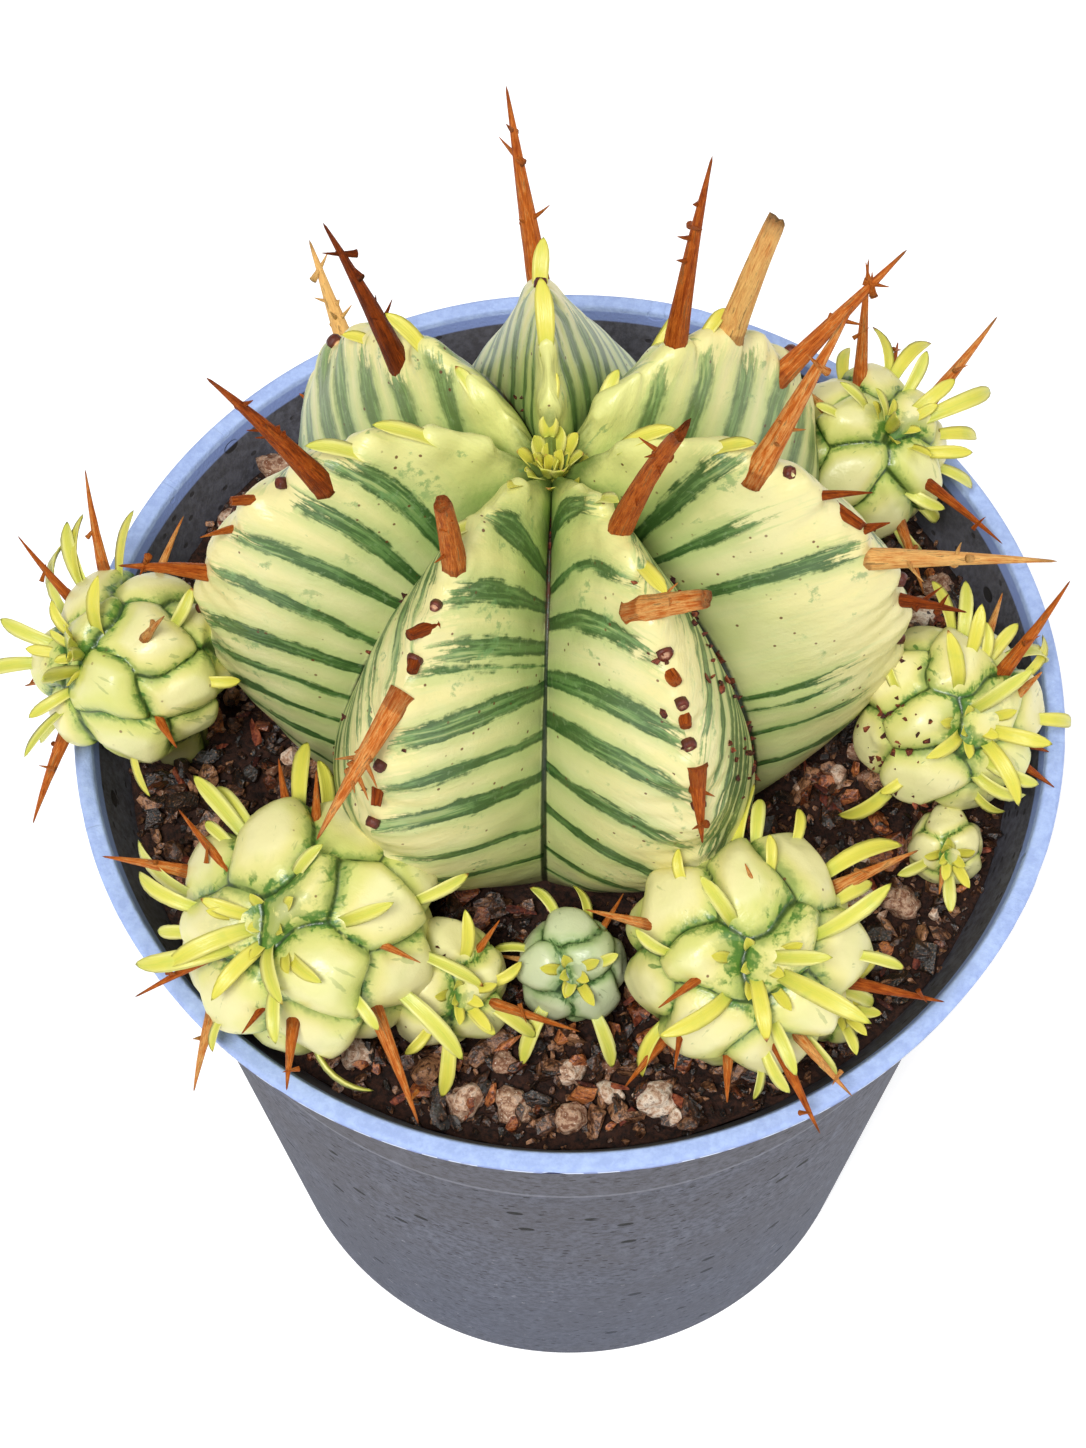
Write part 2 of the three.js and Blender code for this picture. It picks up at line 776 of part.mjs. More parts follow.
function buildSoil() {
  const wallGap = clearance + 0.4;
  const bottom = floorTop + clearance;
  const outline = [
    [0, bottom],
    [innerRadius(bottom) - wallGap, bottom],
    [innerRadius(soilTop - 6) - wallGap, soilTop - 6],
    [innerRadius(soilTop - 1.2) - wallGap, soilTop - 1.2],
  ];
  for (let ring = soilRings; ring > 0; ring--) {
    outline.push([(innerRadius(soilTop) - 2) * (ring / soilRings) ** 0.6, soilTop]);
  }
  outline.push([0, soilTop]);
  const body = reshape(lathe(outline, 32), (point) => {
    if (point.z > soilTop - 0.1) point.z -= crumbs(point.x, point.y);
  });
  let soil = solidOf(body);
  for (const [x, y, radius] of stonePlaces()) {
    const stone = new THREE.IcosahedronGeometry(radius, 0);
    stone.rotateX(radius * 7).rotateZ(x).translate(x, y, soilTop - radius * 0.4);
    soil = soil.add(solidOf(stone));
  }
  const sides = 36;
  const stemRadius = (plugRadius + clearance) / Math.cos(Math.PI / sides);
  const stemFoot = soilTop - plugDepth - clearance;
  soil = soil.subtract(solidOf(bar(stemAxis.x, stemAxis.y, stemFoot, soilTop + 4, stemRadius, sides)));
  for (const offset of offsets) {
    const [x, y, neckRadius] = offset.neck;
    const foot = soilTop - neckDepth(offset) - clearance;
    soil = soil.subtract(solidOf(bar(x, y, foot, soilTop + 4, neckRadius + clearance, 10)));
  }
  return soil;
}

// Stones lie on open soil, clear of the stem, the heads, the wall and each other
function stonePlaces() {
  const places = [];
  for (let draw = 0; places.length < stones; draw++) {
    const angle = 2 * Math.PI * scatter(draw * 3 + 1);
    const distance = stoneField * Math.sqrt(scatter(draw * 3 + 2));
    const radius = 1.5 + 1.1 * scatter(draw * 3 + 3);
    const x = distance * Math.cos(angle);
    const y = distance * Math.sin(angle);
    const clearOfStem = Math.hypot(x - stemAxis.x, y - stemAxis.y) > 47 + radius;
    const clearOfHeads = offsets.every(
      ({ centre, radius: head }) => Math.hypot(x - centre[0], y - centre[1]) > head * 0.85 + radius + 1,
    );
    const clearOfStones = places.every(([a, b, other]) => Math.hypot(x - a, y - b) > radius + other);
    if (clearOfStem && clearOfHeads && clearOfStones) places.push([x, y, radius]);
  }
  return places;
}

// Materials

const potPlastic = new THREE.MeshStandardMaterial({ color: 0x77787f, roughness: 0.55, metalness: 0 });
const grittySoil = new THREE.MeshStandardMaterial({ color: 0x4a3328, roughness: 0.95, metalness: 0 });
const stemSkinLook = new THREE.MeshStandardMaterial({ color: 0xcfd79a, roughness: 0.5, metalness: 0 });
const offsetSkinLook = new THREE.MeshStandardMaterial({ color: 0xdbe394, roughness: 0.5, metalness: 0 });
const greenSkinLook = new THREE.MeshStandardMaterial({ color: 0x8fb08c, roughness: 0.5, metalness: 0 });

// Assembly

const plant = new THREE.Group();
plant.add(meshOf("pot", buildPot(), potPlastic));
plant.add(meshOf("soil", buildSoil(), grittySoil));
plant.add(meshOf("main_stem", buildStem(), stemSkinLook));

const pressed = [stemBody(clearance * 1.4)];
for (const offset of offsets) {
  const look = offset.name === "offset_green" ? greenSkinLook : offsetSkinLook;
  plant.add(meshOf(offset.name, buildOffset(offset, pressed), look));
  pressed.push(pressOf(offset));
}

export default plant;
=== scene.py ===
import math

import bpy
import bmesh
import numpy as np
from mathutils import Matrix, Vector, noise


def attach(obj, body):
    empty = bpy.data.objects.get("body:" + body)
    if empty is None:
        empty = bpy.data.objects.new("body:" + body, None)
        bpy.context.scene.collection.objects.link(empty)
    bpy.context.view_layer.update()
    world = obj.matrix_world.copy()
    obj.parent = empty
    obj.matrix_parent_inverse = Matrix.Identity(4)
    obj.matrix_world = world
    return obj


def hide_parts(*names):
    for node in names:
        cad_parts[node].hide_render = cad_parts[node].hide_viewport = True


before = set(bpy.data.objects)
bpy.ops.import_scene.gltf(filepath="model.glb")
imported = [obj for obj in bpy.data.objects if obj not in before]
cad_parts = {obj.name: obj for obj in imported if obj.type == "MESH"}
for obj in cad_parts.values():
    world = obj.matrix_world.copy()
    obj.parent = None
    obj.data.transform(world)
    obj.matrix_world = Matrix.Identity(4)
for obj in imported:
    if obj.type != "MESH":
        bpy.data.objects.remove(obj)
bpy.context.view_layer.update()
print("frame loaded")

mm = 0.001  # tables are in millimetres and degrees, meshes in metres


# Node trees written as sums

# an operator of the class below and its reflected form
def operatorPair(operation):
    def straight(self, other):
        return self.sheet.math(operation, self, other)

    def reflected(self, other):
        return self.sheet.math(operation, other, self)
    return straight, reflected


class Wire:
    __add__, __radd__ = operatorPair("ADD")
    __sub__, __rsub__ = operatorPair("SUBTRACT")
    __mul__, __rmul__ = operatorPair("MULTIPLY")
    __truediv__, __rtruediv__ = operatorPair("DIVIDE")

    def __init__(self, sheet, socket):
        self.sheet = sheet
        self.socket = socket

    def __abs__(self):
        return self.sheet.math("ABSOLUTE", self)

    # 0 below low, 1 above high, smooth between
    def rise(self, low, high):
        sockets = {"Value": self, "From Min": low, "From Max": high}
        return self.sheet.add("ShaderNodeMapRange", {"interpolation_type": "SMOOTHSTEP"}, sockets)

    def fall(self, low, high):
        return 1 - self.rise(low, high)

    # a noise of 0 to 1 as a swing about zero
    def swing(self, size):
        return (self - 0.5) * size

    def parts(self):
        node = self.sheet.add("ShaderNodeSeparateXYZ", None, {0: self}).socket.node
        return [Wire(self.sheet, socket) for socket in node.outputs]

    def grain(self, scale, detail=2.0, rough=0.5, stretch=None):
        place = self.sheet.vector("MULTIPLY", self, stretch) if stretch else self
        sockets = {"Vector": place, "Scale": scale, "Detail": detail, "Roughness": rough}
        return self.sheet.add("ShaderNodeTexNoise", None, sockets)

    def cells(self, scale, dimensions="3D"):
        sockets = {"Vector": self, "Scale": scale}
        return self.sheet.add("ShaderNodeTexVoronoi", {"voronoi_dimensions": dimensions}, sockets)


class Sheet:
    def __init__(self, tree, material=None):
        self.tree = tree
        self.material = material

    # any node: its type, its settings, then the values or links of its sockets
    def add(self, kind, settings=None, sockets=None, out=0):
        node = self.tree.nodes.new(kind)
        for key, value in (settings or {}).items():
            setattr(node, key, value)
        for key, value in (sockets or {}).items():
            if isinstance(value, Wire):
                self.tree.links.new(value.socket, node.inputs[key])
            else:
                node.inputs[key].default_value = value
        return Wire(self, node.outputs[out]) if node.outputs else node

    def math(self, operation, *values):
        return self.add("ShaderNodeMath", {"operation": operation}, dict(enumerate(values)))

    def vector(self, operation, first, second):
        sockets = {0: first, 3 if operation == "SCALE" else 1: second}
        return self.add("ShaderNodeVectorMath", {"operation": operation}, sockets)

    def join(self, x=0.0, y=0.0, z=0.0):
        return self.add("ShaderNodeCombineXYZ", None, {0: x, 1: y, 2: z})

    # tones are wires or screen colours from 0 to 255
    def mix(self, share, first, second):
        tones = [tone if isinstance(tone, Wire) else paint(*tone) for tone in (first, second)]
        return self.add("ShaderNodeMix", {"data_type": "RGBA"}, {0: share, 6: tones[0], 7: tones[1]}, 2)

    # a tone, and each further one laid over it by its share
    def coats(self, colour, *layers):
        for share, tone in layers:
            colour = self.mix(share, colour, tone)
        return colour

    def ramp(self, share, stops):
        wire = self.add("ShaderNodeValToRGB", None, {0: share})
        elements = wire.socket.node.color_ramp.elements
        for index, (place, tone) in enumerate(stops):
            element = elements[index] if index < 2 else elements.new(place)
            element.position = place
            element.color = paint(*tone)
        return wire

    # object coordinates in millimetres
    def spot(self):
        return self.vector("SCALE", self.add("ShaderNodeTexCoord", out=3), 1 / mm)

    def stored(self, name):
        return self.add("ShaderNodeAttribute", {"attribute_name": name}, None, 1)

    def bump(self, height, strength, distance):
        sockets = {"Height": height, "Strength": strength, "Distance": distance * mm}
        return self.add("ShaderNodeBump", None, sockets)


# screen colour, 0 to 255, as linear light
def paint(*tone):
    shares = [value / 255 for value in tone]
    return (*[v / 12.92 if v < 0.04 else ((v + 0.055) / 1.055) ** 2.4 for v in shares], 1.0)


def newFinish(name):
    material = bpy.data.materials.new(name)
    material.use_nodes = True
    material.node_tree.nodes.clear()
    return Sheet(material.node_tree, material)


# Principled shader from plain values and links, joined to the output
def surface(sheet, colour, roughness, normal=None, gloss=0.5, **plain):
    sockets = {"Base Color": colour, "Roughness": roughness, "Specular IOR Level": gloss}
    if normal:
        sockets["Normal"] = normal
    sockets.update({key.replace("_", " "): value for key, value in plain.items()})
    shader = sheet.add("ShaderNodeBsdfPrincipled", None, sockets)
    sheet.add("ShaderNodeOutputMaterial", None, {"Surface": shader})
    return sheet.material


# Meshes

def newPiece(name, points, faces, finish, facts=None, cornerFacts=None):
    mesh = bpy.data.meshes.new(name)
    mesh.from_pydata((np.asarray(points) * mm).tolist(), [], [list(map(int, face)) for face in faces])
    mesh.update()
    if finish:
        mesh.materials.append(finish)
    mesh.polygons.foreach_set("use_smooth", [True] * len(mesh.polygons))
    for domain, group in (("POINT", facts), ("CORNER", cornerFacts)):
        for key, values in (group or {}).items():
            fact = mesh.attributes.new(key, "FLOAT_VECTOR", domain)
            fact.data.foreach_set("vector", np.asarray(values, dtype=np.float32).ravel())
    piece = bpy.data.objects.new(name, mesh)
    bpy.context.scene.collection.objects.link(piece)
    return piece


def ringPoints(angles, radius, z, centre=(0, 0)):
    x, y = centre[0] + radius * np.cos(angles), centre[1] + radius * np.sin(angles)
    return np.stack([x, y, np.zeros(len(angles)) + z], axis=1)


def wholeTurn(count):
    return np.arange(count) * 2 * np.pi / count


# quads of rings one below another, facing out
def ringFaces(rows, columns):
    faces = []
    for row in range(rows - 1):
        for column in range(columns):
            after = (column + 1) % columns
            top, low = row * columns, (row + 1) * columns
            faces.append((top + column, low + column, low + after, top + after))
    return faces


# the same with a fan at each end, round two centres that come after the rings
def closedFaces(rows, columns):
    last = (rows - 1) * columns
    pairs = [(column, (column + 1) % columns) for column in range(columns)]
    faces = ringFaces(rows, columns) + [(rows * columns, column, after) for column, after in pairs]
    return faces + [(rows * columns + 1, last + after, last + column) for column, after in pairs]


def settle(piece, node=None):
    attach(piece, "root")
    if node:
        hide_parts(node)


# the evaluated shape of a piece as its plain mesh
def bakeModifiers(piece):
    graph = bpy.context.evaluated_depsgraph_get()
    plain = bpy.data.meshes.new_from_object(
        piece.evaluated_get(graph), preserve_all_data_layers=True, depsgraph=graph)
    piece.modifiers.clear()
    old = piece.data
    piece.data = plain
    bpy.data.meshes.remove(old)
    plain.name = piece.name


def useTree(piece, tree, **values):
    modifier = piece.modifiers.new("nodes", "NODES")
    modifier.node_group = tree
    for item in tree.interface.items_tree:
        if item.item_type == "SOCKET" and item.in_out == "INPUT" and item.name in values:
            modifier[item.identifier] = values[item.name]
    bakeModifiers(piece)


def newTree(name, inputs):
    tree = bpy.data.node_groups.new(name, "GeometryNodeTree")
    tree.interface.new_socket(name="Geometry", in_out="INPUT", socket_type="NodeSocketGeometry")
    for key, kind in inputs.items():
        tree.interface.new_socket(name=key, in_out="INPUT", socket_type="NodeSocket" + kind)
    tree.interface.new_socket(name="Geometry", in_out="OUTPUT", socket_type="NodeSocketGeometry")
    sheet = Sheet(tree)
    given = sheet.add("NodeGroupInput").socket.node.outputs
    return sheet, {socket.name: Wire(sheet, socket) for socket in given if socket.name}


def closeTree(sheet, geometry, finish):
    whole = sheet.add("GeometryNodeRealizeInstances", None, {"Geometry": geometry})
    done = sheet.add("GeometryNodeSetMaterial", None, {"Geometry": whole, "Material": finish})
    sheet.add("NodeGroupOutput", None, {0: done})
    return sheet.tree


def scatter(n):  # a repeatable value from 0 to 1
    wave = math.sin(n * 12.9898 + 4.1414) * 43758.5453
    return wave - math.floor(wave)


def softNoise(points, size, seed=0.0):
    return np.array([noise.noise(Vector((x / size + seed, y / size, z / size))) for x, y, z in points])


# layers of soft noise, each with its size, seed and height
def softSum(points, layers):
    return sum(softNoise(points, size, seed) * height for size, seed, height in layers)


def unit(vectors):
    return vectors / np.maximum(np.linalg.norm(vectors, axis=-1, keepdims=True), 1e-9)


# Finishes

def buildPotPlastic():
    sheet = newFinish("potPlastic")
    place = sheet.spot()
    x, y, z = place.parts()
    radius = sheet.math("SQRT", x * x + y * y)
    mottle = place.grain(0.9, 4, 0.65)
    # dark dashes and pin pricks, laid out on the wall unrolled, and a faint moulding line that is a painted
    # highlight
    meanRadius = 54.0
    around = sheet.math("ARCTAN2", y, x) * meanRadius
    unrolled = sheet.join(around * 0.7 + z * 0.3, z - around * 0.2)
    dash = unrolled.cells(0.085, "2D").fall(0.06, 0.075) * place.grain(0.05, 1).rise(0.52, 0.54)
    pricks = unrolled.cells(0.36, "2D").fall(0.09, 0.13) * place.grain(0.2, 1).rise(0.46, 0.54)
    chalk = unrolled.grain(0.5, 3, 0.7).rise(0.66, 0.7) * z.fall(40.0, 90.0)
    # foot: a pale line painted as a highlight along the moulding, where no ridge is modelled
    foot = z.rise(103.2, 103.5) * z.fall(104.1, 104.4)
    wall = sheet.coats(
        (66, 67, 76), (mottle.rise(0.34, 0.66), (102, 104, 118)),
        (place.grain(0.045, 3, 0.6).rise(0.35, 0.7) * 0.5, (80, 78, 84)),
        (place.grain(0.35, 4, 0.7, (1, 1, 0.35)).rise(0.55, 0.7) * 0.35, (118, 121, 136)),
        (pricks * 0.85, (24, 22, 24)), (dash, (6, 6, 6)), (chalk * 0.6, (176, 176, 184)),
        # the first coat here is the painted highlight along the moulding line
        (foot * 0.35, (150, 152, 162)), (z.rise(104.0, 104.6) * 0.3, (92, 88, 90)),
        # painted shade: the wall turns darker and bluer towards the bottom
        (z.fall(10.0, 90.0) * 0.35, (72, 82, 104)))
    # the rim is paler and bluer, with rubbed patches; its outer face is painted darker as shade, and a dark
    # line along its lower edge is a painted shadow
    nicks = place.grain(0.3, 2, stretch=(1, 1, 0.2)).rise(0.46, 0.5)
    lip = radius.rise(63.6, 64.0)
    rimTone = sheet.coats(
        (158, 178, 226), (mottle.rise(0.35, 0.7), (174, 195, 240)),
        (place.grain(0.22, 3, 0.6).rise(0.52, 0.72) * 0.5, (184, 204, 244)),
        # painted shade on the lip's outer face, then a pale nicked line
        (z.fall(134.1, 134.4) * 0.9, (130, 148, 206)), (z.fall(133.9, 134.1) * nicks * lip, (220, 232, 252)),
        # painted shadow: a dark line along the lip's lower edge
        (z.fall(133.3, 133.5) * lip, (54, 58, 96)))
    isRim = z.rise(132.7, 133.0)
    # the inside is painted darker than the outer wall as shade, with splashes of dirt near the soil
    dirt = place.grain(0.8, 4, 0.7).rise(0.53, 0.57) * (1 - z.rise(126.0, 134.0) * 0.7)
    inner = sheet.coats((26, 22, 21), (mottle.rise(0.3, 0.7), (46, 41, 39)), (dirt * 0.8, (118, 82, 64)))
    edgeAtFoot, taper, flare = 46.3, 0.0913, 2.2
    edge = edgeAtFoot + z * taper + z.rise(124.0, 135.0) * flare
    isInner = (radius - edge).fall(-0.1, 0.1) * z.fall(134.3, 134.7) * z.rise(3.0, 3.4)
    colour = sheet.mix(isInner, sheet.mix(isRim, wall, rimTone), inner)
    height = place.grain(2.2, 3, 0.6) * 0.7 + mottle * 0.4 - dash * 1.2 - pricks * 0.5
    return surface(sheet, colour, 0.56 + mottle * 0.16 - isRim * 0.1, sheet.bump(height, 0.5, 0.3), 0.12)


def buildSoilMatter():
    sheet = newFinish("soilMatter")
    place = sheet.spot()
    grain = place.grain(1.3, 5, 0.7)
    clods = place.cells(0.9)
    colour = sheet.mix(grain.rise(0.3, 0.7), (12, 6, 4), (72, 42, 29))
    colour = sheet.mix(clods.rise(0.5, 0.9) * 0.5, colour, (44, 26, 20))
    return surface(sheet, colour, 0.74 + grain * 0.2, sheet.bump(grain + clods * 0.5, 0.9, 0.8), 0.35)


# chips, crumbs and flakes share one recipe: from dark to pale, turned by each fragment's own tint
def buildLitter(name, dark, middle, pale, roughness, scale, gloss=0.35):
    sheet = newFinish(name)
    place = sheet.spot()
    tint, other, _ = sheet.stored("tint").parts()
    fibre = place.grain(scale, 4, 0.65, (1, 1, 2.2))
    dust = place.grain(scale * 2.5, 3, 0.7)
    share = (tint * 0.7 + fibre.swing(2.2)).rise(0.05, 1.0)
    bright = place.grain(scale * 3.5, 2, 0.5).rise(0.64, 0.7)
    colour = sheet.coats(
        sheet.ramp(share, [(0.0, dark), (0.5, middle), (1.0, pale)]),
        (dust.rise(0.56, 0.7) * 0.5 * other, pale),
        (fibre.rise(0.56, 0.66) * 0.7, dark), (bright * 0.7, pale))
    normal = sheet.bump(fibre * 0.7 + dust * 0.3, 0.9, 0.5)
    return surface(sheet, colour, roughness + fibre * 0.2, normal, gloss)


def buildStemSkin():
    sheet = newFinish("stemSkin")
    place = sheet.spot()
    side, along, blur = sheet.stored("ribSkin").parts()  # 0 crest to 1 furrow, mm down, softness
    off, half, reach = sheet.stored("stripe").parts()  # mm from the middle line, half width, inner end
    inner = 1 - side
    flow = sheet.join(off, side * 18, reach * 61 + half * 47)  # runs with the stripes
    strand = flow.grain(1.0, 4, 0.62, (1.5, 0.13, 1))
    wander = flow.grain(1.0, 3, 0.6, (0.22, 0.16, 1))
    mottle = place.grain(0.5, 4, 0.68)
    cloud = place.grain(0.07, 3, 0.55)
    speck = place.grain(1.1, 3, 0.65)

    cream = sheet.mix((side + cloud.swing(0.7)).rise(0.2, 0.9), (232, 222, 156), (200, 205, 138))
    young = along.fall(8.0, 30.0)
    cream = sheet.coats(
        cream, (cloud.rise(0.42, 0.66) * 0.5, (234, 226, 172)),
        (mottle.rise(0.5, 0.72) * 0.3, (206, 214, 150)),
        (strand.rise(0.52, 0.7) * 0.32, (196, 208, 146)), (young * 0.5, (212, 222, 112)),
        # painted shade: green darkening towards the furrows near the growing point, and a dark green patch of
        # painted shade in the crevices under the apex buds
        (young * (side + mottle.swing(0.4)).rise(0.5, 0.95) * 0.8, (116, 158, 66)),
        ((along + mottle.swing(4)).fall(3.5, 8.0) * 0.85, (62, 100, 30)))

    # a stripe is solid at the furrow, and towards the crest it widens, frays into strands and ends
    width = half * (1.08 + inner.rise(0.05, 0.5) * 0.38)
    fray = (strand - 0.5) * (0.8 + inner * 1.7) + (mottle - 0.5) * (0.6 + inner * 1.7)
    edge = abs(off) - width + fray + (wander - 0.5) * (0.6 + inner * 1.6)
    blur = blur + inner * 0.35
    ending = (side + strand.swing(0.9) + mottle.swing(0.5)).rise(reach - 0.05, reach + 0.1)
    band = edge.fall(-0.22 - blur * 0.5, 0.12 + blur * 0.5) * ending
    deep = sheet.mix(inner, (40, 80, 28), (50, 92, 44))
    soft = sheet.mix(inner, (78, 118, 56), (112, 150, 88))
    rim = abs(edge + 0.3).fall(0.05, 0.4) * half.rise(0.5, 0.9)
    greenTone = sheet.coats(
        deep, ((strand + mottle.swing(0.3)).rise(0.44, 0.6), soft), (rim * 0.6, (32, 72, 28)),
        (speck.rise(0.56, 0.7) * 0.3, (150, 174, 128)))
    gaps = strand.rise(0.56, 0.68) * inner.rise(0.15, 0.7)

    # blue-green blotches where stripes break up near the crest
    patch = flow.grain(0.3, 3, 0.6, (0.6, 0.7, 1))
    blotch = (patch + mottle.swing(0.5)).rise(0.62, 0.7) * inner.rise(0.25, 0.5) * inner.fall(0.85, 0.98)
    # the furrow is a thin dark line, with brown dust near the growing point
    line = (side + young * 0.04 + speck.swing(0.012)).rise(0.964, 0.984)
    dust = side.rise(0.93, 0.985) * along.fall(18.0, 34.0) * speck.rise(0.46, 0.56)
    dotSize = place.grain(0.11, 1).rise(0.36, 0.62)
    dot = place.cells(0.5).fall(0.05 + dotSize * 0.03, 0.08 + dotSize * 0.05)
    colour = sheet.coats(
        cream, (edge.fall(-0.2, 2.4) * ending * 0.55, (164, 190, 112)),
        (band * (0.97 - gaps * 0.55) * (1 - blur * 0.2), greenTone),
        (blotch * speck.rise(0.4, 0.55) * 0.6, (110, 152, 92)), (line * 0.95, (22, 40, 14)),
        (dust, (92, 42, 22)), (dot * dotSize * 0.9, (98, 44, 20)))

    wrinkle = flow.grain(0.7, 3, 0.6, (0.8, 0.3, 1)) * (0.4 + inner)
    normal = sheet.bump(wrinkle * 0.8 + speck * 0.3 - band * 0.2, 0.45, 0.5)
    return surface(sheet, colour, 0.3 + speck * 0.14 + dust * 0.3, normal)


# skin of the round heads: pale lobes, green along and beside the creases, with painted shade towards the
# creases, a painted dark line in each crease and painted highlights on the lobe tops
def buildHeadSkin(name, pale, warm, shade, green, creaseShade, greenShare):
    sheet = newFinish(name)
    place = sheet.spot()
    gap, polar, lobe = sheet.stored("lobe").parts()  # 0 crease to 1 flat, share from the axis, own value
    cloud = place.grain(0.11, 3, 0.55)
    speck = place.grain(1.1, 3, 0.65)
    run = place.grain(0.24, 4, 0.65)
    swirl = sheet.stored("swirl")
    near = (gap + run.swing(1.9)).fall(0.02, 0.6)
    where = (near * 0.8 + polar.fall(0.06, 0.3) * 0.35 + lobe * 0.2).rise(0.3, 0.75)
    wash = run.rise(0.58 - greenShare * 0.24, 0.72 - greenShare * 0.24) * where
    # streaks and slashes run out from the growing point
    streak = run + (swirl.grain(1.0, 4, 0.66, (6, 6, 1.6)) - run) * polar.rise(0.1, 0.2)
    streaky = (streak + speck.swing(0.3)).rise(0.6 - greenShare * 0.2, 0.66 - greenShare * 0.18)
    slash = swirl.grain(1.0, 3, 0.5, (9, 9, 3.2)) + speck.swing(0.12)
    slash = slash.rise(0.64, 0.68) * polar.rise(0.15, 0.25)
    dot = place.cells(0.42).fall(0.06, 0.11) * place.grain(0.1, 1).rise(0.48, 0.62)
    colour = sheet.coats(
        pale, ((cloud + lobe * 0.2).rise(0.4, 0.75), warm),
        # painted shade: the shade tone darkens each lobe towards its creases; the wash lays the same tone in
        # noisy patches near the creases and the growing point, partly the skin's own green and partly painted
        # shade
        ((gap + run.swing(0.5)).fall(0.0, 0.7) * 0.5, shade), (wash * 0.5, shade),
        (streaky * wash * 0.9, green),
        # painted highlight: the lobe tops are whitened
        ((gap + cloud.swing(0.8)).rise(0.5, 1.0) * 0.4, sheet.mix(0.6, warm, (244, 240, 214))),
        (slash * (0.3 + near * 0.5), green), ((gap + run.swing(1.1)).fall(0.0, 0.3) * 0.5, green),
        # painted shade: a dark line along each crease
        ((gap + speck.swing(0.06)).fall(0.03, 0.12) * 0.9, creaseShade), (dot * 0.85, (104, 50, 24)))
    return surface(sheet, colour, 0.28 + speck * 0.12, sheet.bump(speck * 0.5 + run * 0.6, 0.35, 0.4))


def buildLeafBlade():
    sheet = newFinish("leafBlade")
    across, _, share = sheet.stored("blank").parts()
    _, _, tint = sheet.stored("size").parts()
    edge = abs(across)
    vein = sheet.join(across * 4, tint * 60, share * 2).grain(1.8, 3, 0.6)
    cloud = sheet.spot().grain(0.35, 3)
    middle = edge.fall(0.0, 0.4) * vein.rise(0.4, 0.6) * (1 - tint.rise(0.5, 1.0) * 0.6)
    scorched = (tint * 7.3 - sheet.math("FLOOR", tint * 7.3)).rise(0.72, 0.78)
    tip = (share + cloud.swing(0.12)).rise(0.92, 0.98) * scorched
    colour = sheet.coats(
        (210, 208, 88), ((edge + vein.swing(0.5)).rise(0.3, 0.9), (232, 228, 138)),
        (tint.rise(0.2, 0.9) * 0.7, (224, 212, 76)), (middle * 0.35, (176, 196, 72)),
        (share.fall(0.05, 0.35) * 0.5, (168, 190, 84)), (cloud.rise(0.55, 0.8) * 0.35, (168, 192, 84)),
        (tip, (176, 112, 56)))
    return surface(sheet, colour, 0.28 + cloud * 0.14, sheet.bump(vein, 0.35, 0.25))


# corky ring round a paler middle
def buildScarCork():
    sheet = newFinish("scarCork")
    across, outward, _ = sheet.stored("blank").parts()
    grain = sheet.spot().grain(1.4, 3, 0.65)
    far = sheet.math("SQRT", across * across + outward * outward) + grain.swing(0.5)
    colour = sheet.mix(far.rise(0.35, 0.7), (230, 182, 146), (112, 46, 26))
    colour = sheet.mix(far.rise(0.8, 1.0), colour, (82, 30, 14))
    return surface(sheet, colour, 0.38 + grain * 0.2, sheet.bump(grain, 0.7, 0.4))


def buildThornWood():
    sheet = newFinish("thornWood")
    across, outward, share = sheet.stored("blank").parts()
    length, _, tint = sheet.stored("size").parts()
    mile = share * length * (1 / mm)  # mm from the foot
    fibre = sheet.join(across * 3.4, outward * 3.4, mile * 0.2 + tint * 90).grain(1.0, 5, 0.7)
    fine = sheet.join(across * 11, outward * 11, mile * 0.5 + tint * 50).grain(1.0, 3, 0.6)
    grain = sheet.spot().grain(0.8, 4, 0.65)
    tone = (tint + fibre.swing(1.1) + fine.swing(0.5) + grain.swing(0.3)).rise(-0.08, 1.02)
    stops = [(0.0, (84, 30, 2)), (0.28, (158, 68, 10)), (0.6, (206, 110, 36)), (1.0, (250, 198, 120))]
    tip = (share + fibre.swing(0.3)).rise(0.84, 1.0) * 0.6 * length.rise(0.0035, 0.008)
    foot = (mile + grain.swing(1.5)).fall(1.9, 2.5) * length.rise(0.0045, 0.009)
    crack = (fibre + fine.swing(0.3)).rise(0.58, 0.64)
    colour = sheet.coats(
        sheet.ramp(tone, stops), (tip, (96, 44, 22)), (foot * 0.45, (112, 48, 14)),
        (crack * 0.6, (88, 36, 14)))
    normal = sheet.bump(fibre + fine * 0.5 + grain * 0.2, 0.9, 0.5)
    return surface(sheet, colour, 0.46 + grain * 0.24, normal, 0.18)


potPlastic = buildPotPlastic()
soilMatter = buildSoilMatter()
barkLook = buildLitter("barkChip", (8, 4, 2), (86, 50, 30), (204, 146, 102), 0.22, 1.2, 0.9)
redBarkLook = buildLitter("redBarkChip", (18, 6, 2), (134, 62, 26), (232, 146, 82), 0.22, 1.2, 0.9)
pumiceLook = buildLitter("pumiceStone", (120, 76, 52), (202, 166, 138), (246, 232, 212), 0.6, 1.0)
flakeLook = buildLitter("dryFlake", (58, 20, 12), (112, 46, 26), (170, 92, 56), 0.5, 1.0)
stemSkinLook = buildStemSkin()
headLook = buildHeadSkin("headSkin", (212, 213, 124), (226, 217, 140), (160, 184, 76),
                         (60, 112, 36), (36, 64, 16), 0.7)
greenHeadLook = buildHeadSkin("greenHeadSkin", (156, 182, 120), (192, 202, 156), (100, 140, 70),
                              (52, 92, 38), (24, 48, 16), 0.8)
leafLook = buildLeafBlade()
scarLook = buildScarCork()
thornLook = buildThornWood()
print("finishes made")


# Pot

